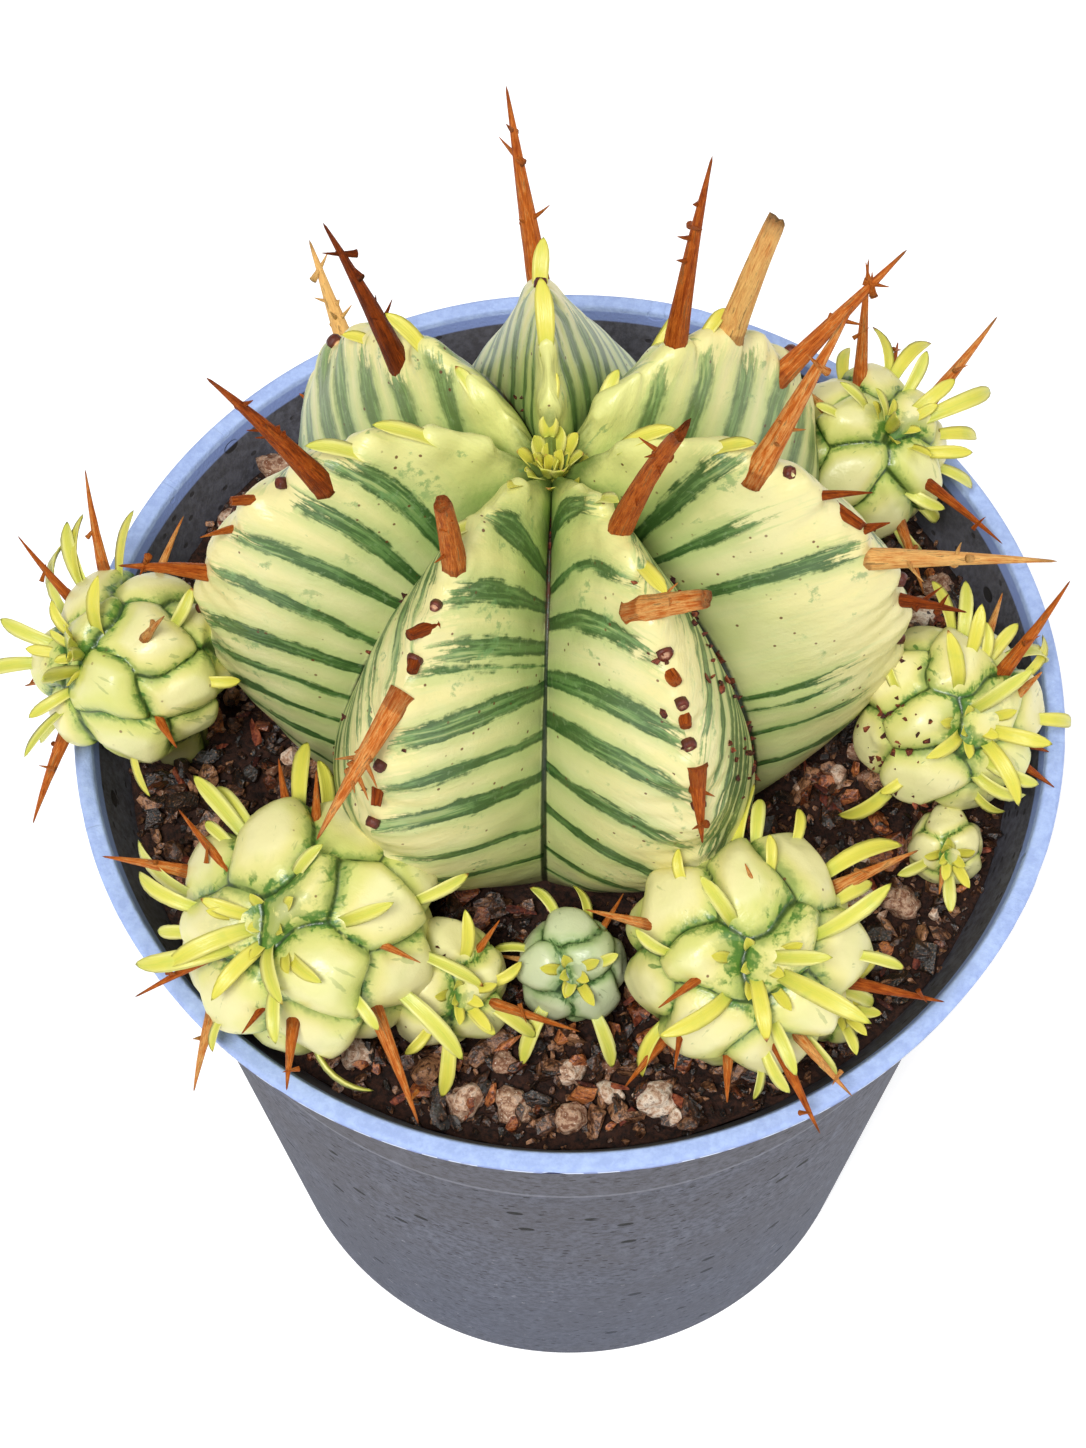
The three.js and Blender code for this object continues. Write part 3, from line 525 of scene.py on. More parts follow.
pot = {
    "height": 135, "rimRadius": 65, "rimWidth": 2.3, "lip": 2.2, "wall": 1.8,
    "collar": 8, "collarRadius": 60.8, "collarFlare": 1.7, "wallTopRadius": 59.4, "footRadius": 48,
    "floorTop": 3.6, "recessInner": 21, "recessOuter": 41, "recessDepth": 1.8,
    "drainHoles": 6, "drainCircle": 32, "drainRadius": 3.6, "drainSides": 24,
    "columns": 240, "corner": 0.45, "step": 6,  # corner is the radius of the rounded edges
}
wallTop = pot["height"] - pot["lip"] - pot["collar"]


def wallRadius(z):
    if z > wallTop:
        return pot["collarRadius"] + (z - wallTop) / pot["collar"] * pot["collarFlare"]
    return pot["footRadius"] + (pot["wallTopRadius"] - pot["footRadius"]) * z / wallTop


def innerRadius(z):
    return wallRadius(z) - pot["wall"]


# a profile with its corners rounded and its long stretches divided
def roundProfile(corners, radius, step):
    corners = np.array(corners, dtype=float)
    profile = [corners[0]]
    for before, corner, after in zip(corners, corners[1:], corners[2:]):
        ways = before - corner, after - corner
        lengths = [np.linalg.norm(way) for way in ways]
        cut = min(radius, lengths[0] * 0.45, lengths[1] * 0.45)
        start, end = (corner + way / length * cut for way, length in zip(ways, lengths))
        for t in (0.0, 0.35, 0.65, 1.0):
            profile.append((1 - t) ** 2 * start + 2 * t * (1 - t) * corner + t * t * end)
    profile.append(corners[-1])
    fine = [profile[0]]
    for a, b in zip(profile, profile[1:]):
        count = max(1, int(math.dist(a, b) / step))
        fine += [a + (b - a) * (k + 1) / count for k in range(count)]
    return fine


def buildPot():
    height, lipBottom = pot["height"], pot["height"] - pot["lip"]
    rim, mouth = pot["rimRadius"], pot["rimRadius"] - pot["rimWidth"]
    corners = [
        (0, pot["floorTop"]), (innerRadius(pot["floorTop"]), pot["floorTop"]),
        (innerRadius(wallTop) + 0.6, wallTop - 1), (mouth - 0.3, height - 0.6), (mouth, height),
        (rim - 0.4, height), (rim, height - 0.4), (rim - 0.3, lipBottom),
        (wallRadius(lipBottom), lipBottom - 0.4),
        (pot["collarRadius"], wallTop + 0.6), (pot["wallTopRadius"], wallTop), (pot["footRadius"], 0),
        (pot["recessOuter"] + 1, 0), (pot["recessOuter"], pot["recessDepth"]),
        (pot["recessInner"] + 1, pot["recessDepth"]), (pot["recessInner"], 0), (0, 0),
    ]
    profile = roundProfile(corners, pot["corner"], pot["step"])[1:-1]
    angles = wholeTurn(pot["columns"])
    points = []
    for radius, z in profile:
        if z > lipBottom - 0.2 and radius > mouth + 0.2:
            # the lip isn't quite true, and its lower edge has small nicks
            nick = 0.12 * np.sin(3 * angles + 0.7) + 0.06 * np.sin(11 * angles)
            rough = softNoise(ringPoints(angles, 24, z), 1)
            nick = nick - np.maximum(rough - 0.28, 0) * (1.3 if z < lipBottom + 0.6 else 0.25)
            radius = radius + np.minimum(nick, 0.0)
        points.append(ringPoints(angles, radius, z))
    points = np.concatenate(points + [[[0, 0, pot["floorTop"]], [0, 0, 0]]])
    shell = newPiece("potShell", points, closedFaces(len(profile), pot["columns"]), potPlastic)
    drills = []
    sides, around = pot["drainSides"], wholeTurn(pot["drainSides"])
    for index, angle in enumerate(wholeTurn(pot["drainHoles"]) + math.pi / pot["drainHoles"]):
        centre = pot["drainCircle"] * math.cos(angle), pot["drainCircle"] * math.sin(angle)
        bar = np.concatenate([ringPoints(around, pot["drainRadius"], z, centre) for z in (8.0, -2.0)])
        ends = [range(sides), range(2 * sides - 1, sides - 1, -1)]
        drill = newPiece(f"drill{index}", bar, ringFaces(2, sides) + ends, None)
        cut = shell.modifiers.new("hole", "BOOLEAN")
        cut.object = drill
        cut.solver = "EXACT"
        drills.append(drill)
    bakeModifiers(shell)
    for drill in drills:
        bpy.data.objects.remove(drill)
    settle(shell, "pot")


buildPot()
print("pot made")


# Main stem: a crest profile and a furrow profile, joined across each flank

stem = {
    "axis": (-2, 10), "ribs": 7, "firstRib": 88, "humps": 11, "humpHeight": 0.7,
    "apex": 173.8, "plugFoot": 108, "columnsPerRib": 48, "rows": 230,
    # how far each rib stands out and up, and its crest's lean round the stem, from the back rib anticlockwise
    "ribReach": (0.62, 0.86, 0.98, 1.02, 0.97, 1, 0.84), "ribRise": (1, 0.66, 1, 1, 1, 1, 0.78),
    "ribLean": (6, 0, 0, 0, 0, 0, 0),
    "crest": [(0, 174), (5.5, 180.5), (12, 186.6), (20, 188.8), (28, 186.6), (35, 181.2), (40.5, 174.2),
              (44, 165.5), (45.4, 156), (44.6, 146), (41, 136), (36.5, 128), (35.5, 126.3)],
    "furrow": [(0, 173.6), (3, 173.2), (6, 172.6), (10.5, 171.4), (15.5, 169.4), (20.5, 166.2), (25, 161.6),
               (29, 155.5), (32, 148), (33.6, 140), (33.8, 133), (32.6, 128), (32, 126.3)],
    "skirt": ((0.985, 125.0), (0.95, 122.8)), "plug": ((26, 122.0), (26, 110.0), (23, 108.0)),
    "swells": ((13, 3.1, 0.48), (5, 8.2, 0.21)), "wrinkle": 0.12, "cushion": 0.6, "leafCushion": 1.0,
    "stripeStart": 16,
}
apexBuds = {"count": 22, "spread": 3.6, "lift": 0.5}
goldenAngle = 137.508  # turn from each leaf or lobe to the next one
soilTop = 126


# a smooth curve through rows of points
def alongCurve(points, share):
    points = np.array(points, dtype=float)
    last = len(points) - 1
    place = np.clip(np.asarray(share, dtype=float), 0, 1) * last
    index = np.minimum(place.astype(int), last)
    t = (place - index)[..., None]
    p0 = points[np.maximum(index - 1, 0)]
    p1, p2 = points[index], points[np.minimum(index + 1, last)]
    p3 = points[np.minimum(index + 2, last)]
    v0, v1 = (p2 - p0) / 2, (p3 - p1) / 2
    return (2 * p1 - 2 * p2 + v0 + v1) * t ** 3 + (-3 * p1 + 3 * p2 - 2 * v0 - v1) * t ** 2 + v0 * t + p1


def flank(place):
    roundness = 0.2
    ridge = np.hypot(place, roundness) - roundness
    return 1 - 0.88 * ridge / (math.hypot(1, roundness) - roundness) - 0.12 * place ** 4


def stemPoint(angle, down):
    turn = (angle - math.radians(stem["firstRib"])) / (2 * np.pi) * stem["ribs"]
    rib = np.round(turn)
    place = 2 * (turn - rib)
    height = flank(place)
    crest = alongCurve(stem["crest"], down)
    furrow = alongCurve(stem["furrow"], down)
    own = (rib % stem["ribs"]).astype(int)
    reach, rise, lean = (np.array(stem[key])[own] for key in ("ribReach", "ribRise", "ribLean"))
    crestRadius = crest[..., 0] * (reach + (1 - reach) * down ** 3)
    middle = np.maximum(0, 1 - 3 * np.abs(place)) * np.clip(np.minimum(down * 6, (1 - down) * 5), 0, 1)
    hump = stem["humpHeight"] * middle * np.cos(2 * np.pi * stem["humps"] * down)
    radius = furrow[..., 0] + (crestRadius - furrow[..., 0]) * height + hump
    z = furrow[..., 1] + (crest[..., 1] - furrow[..., 1]) * height * rise + hump * (1 - down)
    heading = angle + np.radians(lean) * height
    x = stem["axis"][0] + radius * np.cos(heading)
    y = stem["axis"][1] + radius * np.sin(heading)
    return np.stack([x, y, z], axis=-1)


def crestAngle(rib):
    return math.radians(stem["firstRib"] + rib * 360 / stem["ribs"])


def crestPoint(rib, down):
    return stemPoint(np.array(crestAngle(rib)), np.array(down))


# Stripes of the flanks that face the front: mm down the skin at the furrow, half width, where on the flank
# each one ends (0 crest, 1 furrow), and how much lower it runs at the crest than at the furrow.
# Flanks count anticlockwise from the back crest, two to a rib.
frontStripes = {
    4: [
        (23.3, 1.2, 0.08, 0.4), (29.6, 0.95, 0.15, 1.1), (34.3, 0.8, 0.04, 5), (41.5, 0.7, 0.1, 4.7),
        (46.9, 0.95, 0.04, 9), (52.7, 0.55, 0.08, 9.7), (58, 0.45, 0.15, 10), (64, 0.6, 0.1, 9),
        (71, 0.5, 0.1, 8),
    ],
    6: [
        (19.8, 1.2, 0.05, -5.8), (24.5, 0.95, 0.04, -1.5), (30.4, 1.05, 0.2, -1), (33, 0.3, 0.02, -1.5),
        (36.2, 1.15, 0.03, 3), (43.4, 0.7, 0.04, 2.3), (50.2, 1.05, 0.02, 1.7), (60.1, 0.55, 0.15, -0.3),
        (67.9, 0.65, 0.15, -0.5),
    ],
    7: [
        (14.9, 1.3, 0.08, -1.8), (22.2, 0.55, 0.04, 0.1), (27, 1.0, 0.08, 3.5), (34.8, 1.2, 0.02, 5.2),
        (40.8, 1.2, 0.03, 7.2), (48.4, 0.9, 0.06, 10.4), (55.9, 0.95, 0.08, 14.9), (65.2, 0.6, 0.15, 16),
        (72.5, 0.5, 0.2, 16),
    ],
    9: [
        (19.3, 0.9, 0.06, -0.3), (23.5, 0.75, 0.4, 5.1), (30.6, 0.9, 0.1, 7), (50.4, 0.45, 0.4, 5.1),
        (53, 0.3, 0.45, 5), (58.1, 0.5, 0.35, 4.5), (66, 0.7, 0.3, 4),
    ],
}
# the other flanks: mm between stripes, half width, slant
flankStripes = {
    0: (5.2, 0.8, 10), 1: (7, 0.9, 3), 2: (6.2, 1.1, 1), 3: (6.4, 0.9, 3), 5: (4.2, 0.7, 20),
    8: (4.4, 0.7, 20), 10: (6.4, 0.9, 3), 11: (6.2, 1.1, 1), 12: (7, 0.9, 3), 13: (5.2, 0.8, 10),
}
flankBlur = {0: 0.6, 1: 0.8, 2: 0.8, 11: 0.8, 12: 0.8, 13: 0.6}  # softness of the stripes
flankBow = {4: 3.0, 6: 2.2, 7: 3.5, 9: 1.5}  # how far a stripe's middle lies above the straight line, else 1


# mm from a stripe's middle line
def stripeOffset(along, side, at, slant, bow):
    return along - at - slant * (1 - side) + 4 * bow * side * (1 - side)


# stripes of one flank, as in the tables above
def stripesOf(number, length):
    if number in frontStripes:
        return frontStripes[number]
    gap, half, slant = flankStripes[number]
    stripes = []
    at = stem["stripeStart"] - slant * 0.8 + 3 * scatter(number + 40)
    while at < length:
        dice = [scatter(number * 97 + at * 3.1 + k) for k in range(4)]
        stripes.append((at, half * (0.6 + 0.8 * dice[0]), 0.03 + 0.3 * dice[1] ** 1.5,
                        slant * (0.8 + 0.4 * dice[2])))
        at += gap * (0.75 + 0.5 * dice[3])
    return stripes


# thorns on the crests: rib, share of the way down, tilt above level, turn sideways, length, radius, end, tint
# ends are 0 sharp, 1 broken off and 2 forked, and a rib with a fraction is a place beside its crest
stemThorns = [
    (0, 0.46, 55, 17, 25, 1.6, 0, 0.5), (0, 0.56, 20, -10, 5, 0.9, 0, 0.4),
    (0, 0.66, 5, 10, 9, 1.1, 0, 0.4), (1.12, 0.33, 61, -13, 21, 1.6, 0, 0.15),
    (0.88, 0.61, 50, -15, 16, 1.5, 0, 0.95), (1, 0.71, 10, 5, 3, 0.9, 0, 0.4),
    (2.08, 0.35, 65, -22, 23, 1.6, 0, 0.3), (2, 0.44, 35, 10, 3, 0.8, 1, 0.4),
    (2, 0.5, 30, 20, 5, 0.7, 0, 0.5), (2, 0.59, 38, 4, 13, 1.3, 0, 0.45), (3, 0.28, 87, 0, 17, 1.5, 1, 0.5),
    (3, 0.36, 30, -20, 2.2, 1, 1, 0.2), (3, 0.4, 20, 20, 2, 1, 1, 0.2), (3, 0.45, -18, -6, 18, 1.6, 0, 0.6),
    (3, 0.57, -10, 20, 2, 0.9, 1, 0.3), (4.04, 0.24, 79, 45, 27, 1.5, 2, 0.42),
    (3.96, 0.34, 48, 47, 11, 1.6, 1, 0.65), (4, 0.42, 30, 0, 2, 1.1, 1, 0.4),
    (4, 0.47, 15, -20, 1.4, 1, 1, 0.3), (4, 0.55, -52, -18, 9, 1.3, 0, 0.4),
    (4.96, 0.31, 64, 52, 25, 1.7, 0, 0.6), (5, 0.39, 25, 8, 6.5, 0.8, 0, 0.3),
    (5, 0.43, 20, -30, 3, 0.9, 1, 0.3), (5, 0.46, 40, 6, 3.2, 0.9, 0, 0.3),
    (4.96, 0.5, 29, 0, 24, 1.5, 0, 0.8), (5, 0.6, 20, -5, 9, 1.1, 0, 0.2),
    (6.04, 0.27, 74, 33, 27, 1.6, 0, 0.4), (6, 0.37, 72, 11, 18, 1.8, 1, 0.85),
    (5.88, 0.49, 33, 5, 22, 1.6, 0, 0.5),
]
# leaves on the crests: rib, share of the way down, tilt above level, turn sideways, length
stemLeaves = [
    (0, 0.1, 50, 0, 4.5), (0, 0.21, 44, 0, 8), (0, 0.43, 48, 5, 6.5), (1.12, 0.18, 40, -25, 5),
    (1.04, 0.28, 44, 0, 6.5), (1.04, 0.41, 40, 30, 3.5), (2.04, 0.13, 40, -5, 4), (2.08, 0.2, 40, -10, 8),
    (2.08, 0.29, 40, -15, 7.5), (3, 0.13, 66, 0, 3.5), (2.96, 0.23, 30, -20, 4), (4, 0.18, 64, 25, 5.5),
    (4.04, 0.29, 28, 0, 6), (5, 0.14, 40, 25, 6.5), (4.96, 0.25, 40, 15, 5.5), (6.12, 0.15, 40, 15, 4.5),
    (6.16, 0.28, 36, 0, 7), (6.04, 0.34, 36, 5, 4),
]
# corky scars on the crests: rib, share of the way down, radius
stemScars = [
    (0, 0.36, 0.8), (0, 0.53, 0.9), (1, 0.52, 0.9), (2, 0.4, 0.8), (2, 0.66, 0.9), (3, 0.335, 0.7),
    (3, 0.4, 1.1), (3, 0.53, 0.9), (3, 0.62, 1.0), (4, 0.395, 1.0), (4, 0.45, 1.0), (4, 0.51, 1.1),
    (4, 0.6, 1.0), (5, 0.34, 0.8), (5, 0.56, 0.9), (6, 0.4, 0.8), (6, 0.54, 0.9), (1, 0.66, 0.8),
    (6, 0.68, 0.9), (5, 0.68, 0.9),
]


# the skin's grid with its swells, and a cushion under each thorn and leaf
def stemGrid(angles, downs, along):
    grid = stemPoint(angles[None, :], downs[:, None])
    ahead = np.roll(grid, -1, axis=1) - np.roll(grid, 1, axis=1)
    normals = unit(np.cross(np.gradient(grid, axis=0), ahead))
    swell = softSum(grid.reshape(-1, 3), stem["swells"]).reshape(grid.shape[:2])
    ribs = np.arange(len(angles)) / stem["columnsPerRib"]
    place = np.abs(2 * (ribs - np.round(ribs)))
    keep = np.clip((1 - place) * 6, 0, 1) * np.clip(downs * 8, 0, 1)[:, None]
    wrinkle = np.cos(along[:, None] * 2.4 + 5 * place) * np.exp(-(place / 0.3) ** 2) * stem["wrinkle"]
    cushion = np.zeros(grid.shape[:2])
    rows = [(*row[:2], row[5] * 1.9, 4, stem["cushion"] * row[5] / 1.6) for row in stemThorns]
    rows += [(*row[:2], 2.4, 2, stem["leafCushion"]) for row in stemLeaves]
    for rib, down, spread, power, height in rows:
        away = np.linalg.norm(grid - crestPoint(rib, down), axis=2) / spread
        cushion = np.maximum(cushion, height * np.exp(-away ** power))
    return grid + normals * ((swell + wrinkle) * keep + cushion)[..., None]


# facts at the corners of each face, so that the two flanks at a furrow or a crest stay apart
def stemFacts(faces, rows, columns, along):
    half = stem["columnsPerRib"] // 2
    corners = []
    for index, face in enumerate(faces):
        ringColumns = [point % columns for point in face if point < rows * columns]
        low, high = min(ringColumns), max(ringColumns)
        number = (high if high - low > 2 else low) // half
        for point in face:
            onGrid = point < rows * columns
            own = (point % columns) / half if onGrid else number + 0.5
            share = own - number + (2 * stem["ribs"] if own < number else 0)
            down = along[point // columns] if onGrid else (0 if point == rows * columns else along[-1])
            corners.append((index, number, share if number % 2 == 0 else 1 - share, down))
    faceOf, flankOf, sideOf, alongOf = np.array(corners).T
    faceOf = faceOf.astype(int)
    faceFlank, faceSide, faceAlong = (np.bincount(faceOf, values) / np.bincount(faceOf)
                                      for values in (flankOf, sideOf, alongOf))
    # each face takes the stripe that is nearest to its middle
    chosen = np.zeros((len(faces), 5))
    for number in range(2 * stem["ribs"]):
        mine = np.round(faceFlank).astype(int) == number
        table = np.array(stripesOf(number, along[-1]), dtype=float)
        bow = flankBow.get(number, 1.0)
        off = stripeOffset(faceAlong[mine, None], faceSide[mine, None], table[:, 0], table[:, 3], bow)
        best = np.argmin(np.abs(off) - table[:, 1], axis=1)
        chosen[mine] = np.concatenate([table[best], np.full((len(best), 1), bow)], axis=1)
    at, halfWidth, reach, slant, bow = chosen[faceOf].T
    off = stripeOffset(alongOf, sideOf, at, slant, bow)
    blur = np.array([flankBlur.get(number, 0) for number in flankOf])
    return {"ribSkin": np.stack([sideOf, alongOf, blur], axis=1),
            "stripe": np.stack([off, halfWidth, reach], axis=1)}


def buildStem():
    columns = stem["ribs"] * stem["columnsPerRib"]
    angles = math.radians(stem["firstRib"]) + wholeTurn(columns)
    # millimetres down the skin, between crest and furrow
    steps = np.linspace(0, 1, stem["rows"] + 1)
    middle = (alongCurve(stem["crest"], steps) + alongCurve(stem["furrow"], steps)) / 2
    along = np.cumsum(np.linalg.norm(np.diff(middle, axis=0), axis=1))
    grid = stemGrid(angles, np.arange(1, stem["rows"] + 1) / stem["rows"], along)

    axis = stem["axis"]
    foot = grid[-1] - [*axis, 0]
    tail = [foot * [share, share, 0] + [*axis, z] for share, z in stem["skirt"]]
    tail += [ringPoints(angles, radius, z, axis) for radius, z in stem["plug"]]
    rows = stem["rows"] + len(tail)
    points = np.concatenate([grid.reshape(-1, 3), *tail, [[*axis, stem["apex"]], [*axis, stem["plugFoot"]]]])
    faces = closedFaces(rows, columns)
    facts = stemFacts(faces, rows, columns, np.concatenate([along, np.full(len(tail), along[-1])]))
    settle(newPiece("mainStem", points, faces, stemSkinLook, cornerFacts=facts), "main_stem")


buildStem()
print("main stem made")


# Leaves and thorns: a blank of each is set on its seats and bent along an arc by one node tree

spike = {
    "thornSink": 1.8, "leafSink": 1.5, "scarSink": 0.4,  # how deep a foot starts
    "thornBend": (0, 8), "leafBend": (-12, 34),  # lean at the foot and at the tip
    "leafWidth": (0.6, 0.07), "leafSway": 0.2, "thornSway": 0.08,  # a width, and its growth with length
    "nubsAbove": 8, "moreNubsAbove": 15, "nubs": 2, "moreNubs": 4,  # lengths above which thorns carry nubs
}

# rows of rings from the foot up, each ring a list of (across, outward), and a tip
def makeBlank(name, rings, shares, tip):
    count = len(rings[0])
    points = [(x, y, share) for ring, share in zip(rings, shares) for x, y in ring]
    points += [tip, (0, 0, shares[0])]
    faces = []
    for row in range(len(rings) - 1):
        for column in range(count):
            after = (column + 1) % count
            low, top = row * count, (row + 1) * count
            faces.append((low + column, low + after, top + after, top + column))
    last = (len(rings) - 1) * count
    faces += [(last + k, last + (k + 1) % count, len(points) - 2) for k in range(count)]
    faces += [((k + 1) % count, k, len(points) - 1) for k in range(count)]
    blank = newPiece(name, np.array(points) / mm, faces, None, facts={"blank": points})
    bpy.context.scene.collection.objects.unlink(blank)
    return blank


def leafBlank():
    shares = [0, 0.1, 0.22, 0.36, 0.5, 0.64, 0.76, 0.86, 0.94]
    rings = []
    for share in shares:
        tipping = max(0.0, (share - 0.62) / 0.38)
        wide = (0.62 + 0.38 * math.sin(math.pi / 2 * min(1, share / 0.55))) * (1 - 0.95 * tipping ** 2.2)
        thick = 0.3 * (1.15 - 0.5 * share)
        top = [(x, 0.34 * abs(x) ** 1.5 + thick * (1 - abs(x)) * 0.25) for x in (1, 0.55, 0, -0.55, -1)]
        under = [(x, 0.34 * abs(x) ** 1.5 - thick * (1.15 - abs(x))) for x in (-0.6, 0, 0.6)]
        rings.append([(x * wide, y * (0.35 + 0.65 * wide)) for x, y in top + under])
    return makeBlank("leafBlank", rings, shares, (0, 0.1, 1))


# a woody cone with ridges along it: end 0 is sharp, 1 broken off and 2 forked
def thornBlank(name, tipSize, shares, end):
    rings = []
    sides = 14
    for row, share in enumerate(shares):
        size = 1 - (1 - tipSize) * share ** 1.15
        size *= 1.12 - 0.12 * min(1, share / 0.06)
        ring = []
        for k in range(sides):
            angle = 2 * math.pi * k / sides
            ridge = 1 + 0.13 * (scatter(k * 7 + end * 3) - 0.5) + 0.08 * (scatter(row * 31 + k * 5) - 0.5)
            ring.append((size * ridge * math.cos(angle), size * ridge * math.sin(angle)))
        rings.append(ring)
    blank = makeBlank(name, rings, shares, (0, 0, 1.0 - 0.06 * end))
    fact = blank.data.attributes["blank"].data
    first = (len(shares) - 1) * sides
    for k in range(sides if end else 0):  # the broken end stands up in splinters, and the fork in two prongs
        turn = 2 * math.pi * k / sides
        prong = abs(math.cos(turn + 0.5)) ** 3
        fact[first + k].vector[2] += 0.05 * (scatter(k * 13 + 5) - 0.35) if end == 1 else 0.09 * prong - 0.03
        if end == 2:
            fact[first + k].vector[0] *= 0.8 + 1.3 * prong
    return blank


def scarBlank():
    outline = [((1 + 0.16 * math.sin(3 * a + 1)) * math.cos(a), (1 + 0.1 * math.cos(2 * a)) * math.sin(a))
               for a in wholeTurn(12)]
    rings = [[(size * x, size * y) for x, y in outline] for size in (1.0, 1.06, 0.82, 0.56, 0.36)]
    return makeBlank("scarBlank", rings, [0, 0.6, 1.0, 0.6, 0.55], (0, 0, 0.8))


def buildSpikeTree():
    sheet, given = newTree("spikes", {"Blank": "Object", "Finish": "Material", "Sink": "Float"})

    def field(name):
        return sheet.add("GeometryNodeInputNamedAttribute", {"data_type": "FLOAT_VECTOR"}, {"Name": name})

    blank = sheet.add("GeometryNodeObjectInfo", None, {"Object": given["Blank"]}, 4)
    placed = sheet.add("GeometryNodeInstanceOnPoints", None, {"Points": given["Geometry"], "Instance": blank})
    whole = sheet.add("GeometryNodeRealizeInstances", None, {"Geometry": placed})
    across, outward, share = field("blank").parts()
    length, half, _ = field("size").parts()
    start, bend, sway = field("leans").parts()
    normal, away = field("rootNormal"), field("rootAway")
    length = length + given["Sink"]
    lean = start + bend * share
    sine, cosine = sheet.math("SINE", lean), sheet.math("COSINE", lean)
    rise = length / bend * (sine - sheet.math("SINE", start)) - given["Sink"]
    drift = length / bend * (sheet.math("COSINE", start) - cosine)
    outward = outward * half
    aside = across * half + sway * share * share * length
    place = field("seat")
    for way, size in ((normal, rise + outward * sine), (away, drift - outward * cosine),
                      (sheet.vector("CROSS_PRODUCT", normal, away), aside)):
        place = sheet.vector("ADD", place, sheet.vector("SCALE", way, size))
    bent = sheet.add("GeometryNodeSetPosition", None, {"Geometry": whole, "Position": place})
    return closeTree(sheet, bent, given["Finish"])


# A seat is (base, normal, away, length, half width, lean from, lean to, sideways sway, tint)
def growSpikes(name, seats, blank, finish, sink=spike["leafSink"]):
    base, normal, away = (np.array([seat[k] for seat in seats], dtype=float) for k in (0, 1, 2))
    size = np.array([(seat[3] * mm, seat[4] * mm, seat[8]) for seat in seats])
    leans = np.array([(*np.radians([seat[5], max(seat[6] - seat[5], 1)]), seat[7]) for seat in seats])
    facts = {"seat": base * mm, "rootNormal": normal, "rootAway": away, "size": size, "leans": leans}
    piece = newPiece(name, base, [], None, facts=facts)
    useTree(piece, spikeTree, Blank=blank, Finish=finish, Sink=sink * mm)
    settle(piece)


spikeTree = buildSpikeTree()
leafForm = leafBlank()
sharpShares = [0, 0.03, 0.07, 0.13, 0.22, 0.32, 0.44, 0.56, 0.68, 0.8, 0.9, 0.97]
sharpThorn = thornBlank("sharpThornBlank", 0.08, sharpShares, 0)
brokenShares = [0, 0.03, 0.07, 0.13, 0.24, 0.38, 0.52, 0.66, 0.8]
bluntThorn = thornBlank("bluntThornBlank", 0.66, brokenShares + [0.9, 0.96], 1)
forkedThorn = thornBlank("forkedThornBlank", 0.5, brokenShares + [0.88, 0.95], 2)
scarForm = scarBlank()


# the way of a spike at a heading and a tilt above level, and the way that it leans to
def spikeWays(heading, tilt):
    level, up = np.array([math.cos(heading), math.sin(heading), 0]), np.array([0, 0, 1])
    return level * math.cos(tilt) + up * math.sin(tilt), level * math.sin(tilt) - up * math.cos(tilt)


def crestSeat(rib, down, tilt, turn):
    return crestPoint(rib, down), *spikeWays(crestAngle(rib) + math.radians(turn), math.radians(tilt))


# short nubs along a long thorn, where smaller ones broke off
def nubsOn(seat, seed, count, scale=1.0):
    base, normal, away, length, radius, leanFrom, leanTo = seat[:7]
    side = np.cross(normal, away)
    nubs = []
    for k in range(count):
        share = 0.18 + 0.62 * scatter(seed * 7 + k * 3 + 1)
        lean = math.radians(leanFrom + (leanTo - leanFrom) * share / 2)
        middle = base + (normal * math.cos(lean) + away * math.sin(lean)) * length * share
        around = 2 * math.pi * scatter(seed * 11 + k * 5 + 2)
        out = side * math.cos(around) + away * math.sin(around)
        slant = unit(out + normal * 0.5)
        back = unit(normal - slant * np.dot(normal, slant))
        size = radius * (1 - 0.8 * share)
        reach = (1.4 + 1.9 * scatter(seed + k)) * scale
        nubs.append((middle + out * size * 0.6, slant, back, reach, 0.25 + 0.23 * scale, 0, 10, 0, seat[8]))
    return nubs


def buildStemSpikes():
    sharp, blunt, forked = [], [], []
    for index, (rib, down, tilt, turn, length, radius, end, tint) in enumerate(stemThorns):
        sway = spike["thornSway"] * (scatter(index + 9) - 0.5)
        seat = (*crestSeat(rib, down, tilt, turn), length, radius, *spike["thornBend"], sway, tint)
        (sharp, blunt, forked)[end].append(seat)
        if length > spike["nubsAbove"]:
            count = spike["nubs"] if length < spike["moreNubsAbove"] else spike["moreNubs"]
            sharp.extend(nubsOn(seat, index + 1, count))
    for name, seats, blank in (("stemThorns", sharp, sharpThorn), ("stemThornStubs", blunt, bluntThorn),
                               ("stemThornForks", forked, forkedThorn)):
        growSpikes(name, seats, blank, thornLook, spike["thornSink"])
    narrow, wider = spike["leafWidth"]
    leaves = [(*crestSeat(rib, down, tilt, turn), length, narrow + wider * length, *spike["leafBend"],
               spike["leafSway"] * (scatter(index) - 0.5), scatter(index + 70))
              for index, (rib, down, tilt, turn, length) in enumerate(stemLeaves)]
    growSpikes("stemLeaves", leaves, leafForm, leafLook)
    scars = [(*crestSeat(rib, down, 90 - 180 * down, 10 * (scatter(index) - 0.5)), 0.8,
              radius * (0.7 + 0.3 * scatter(index + 3)), 0, 1, 0, 0.5)
             for index, (rib, down, radius) in enumerate(stemScars)]
    growSpikes("stemScars", scars, scarForm, scarLook, spike["scarSink"])


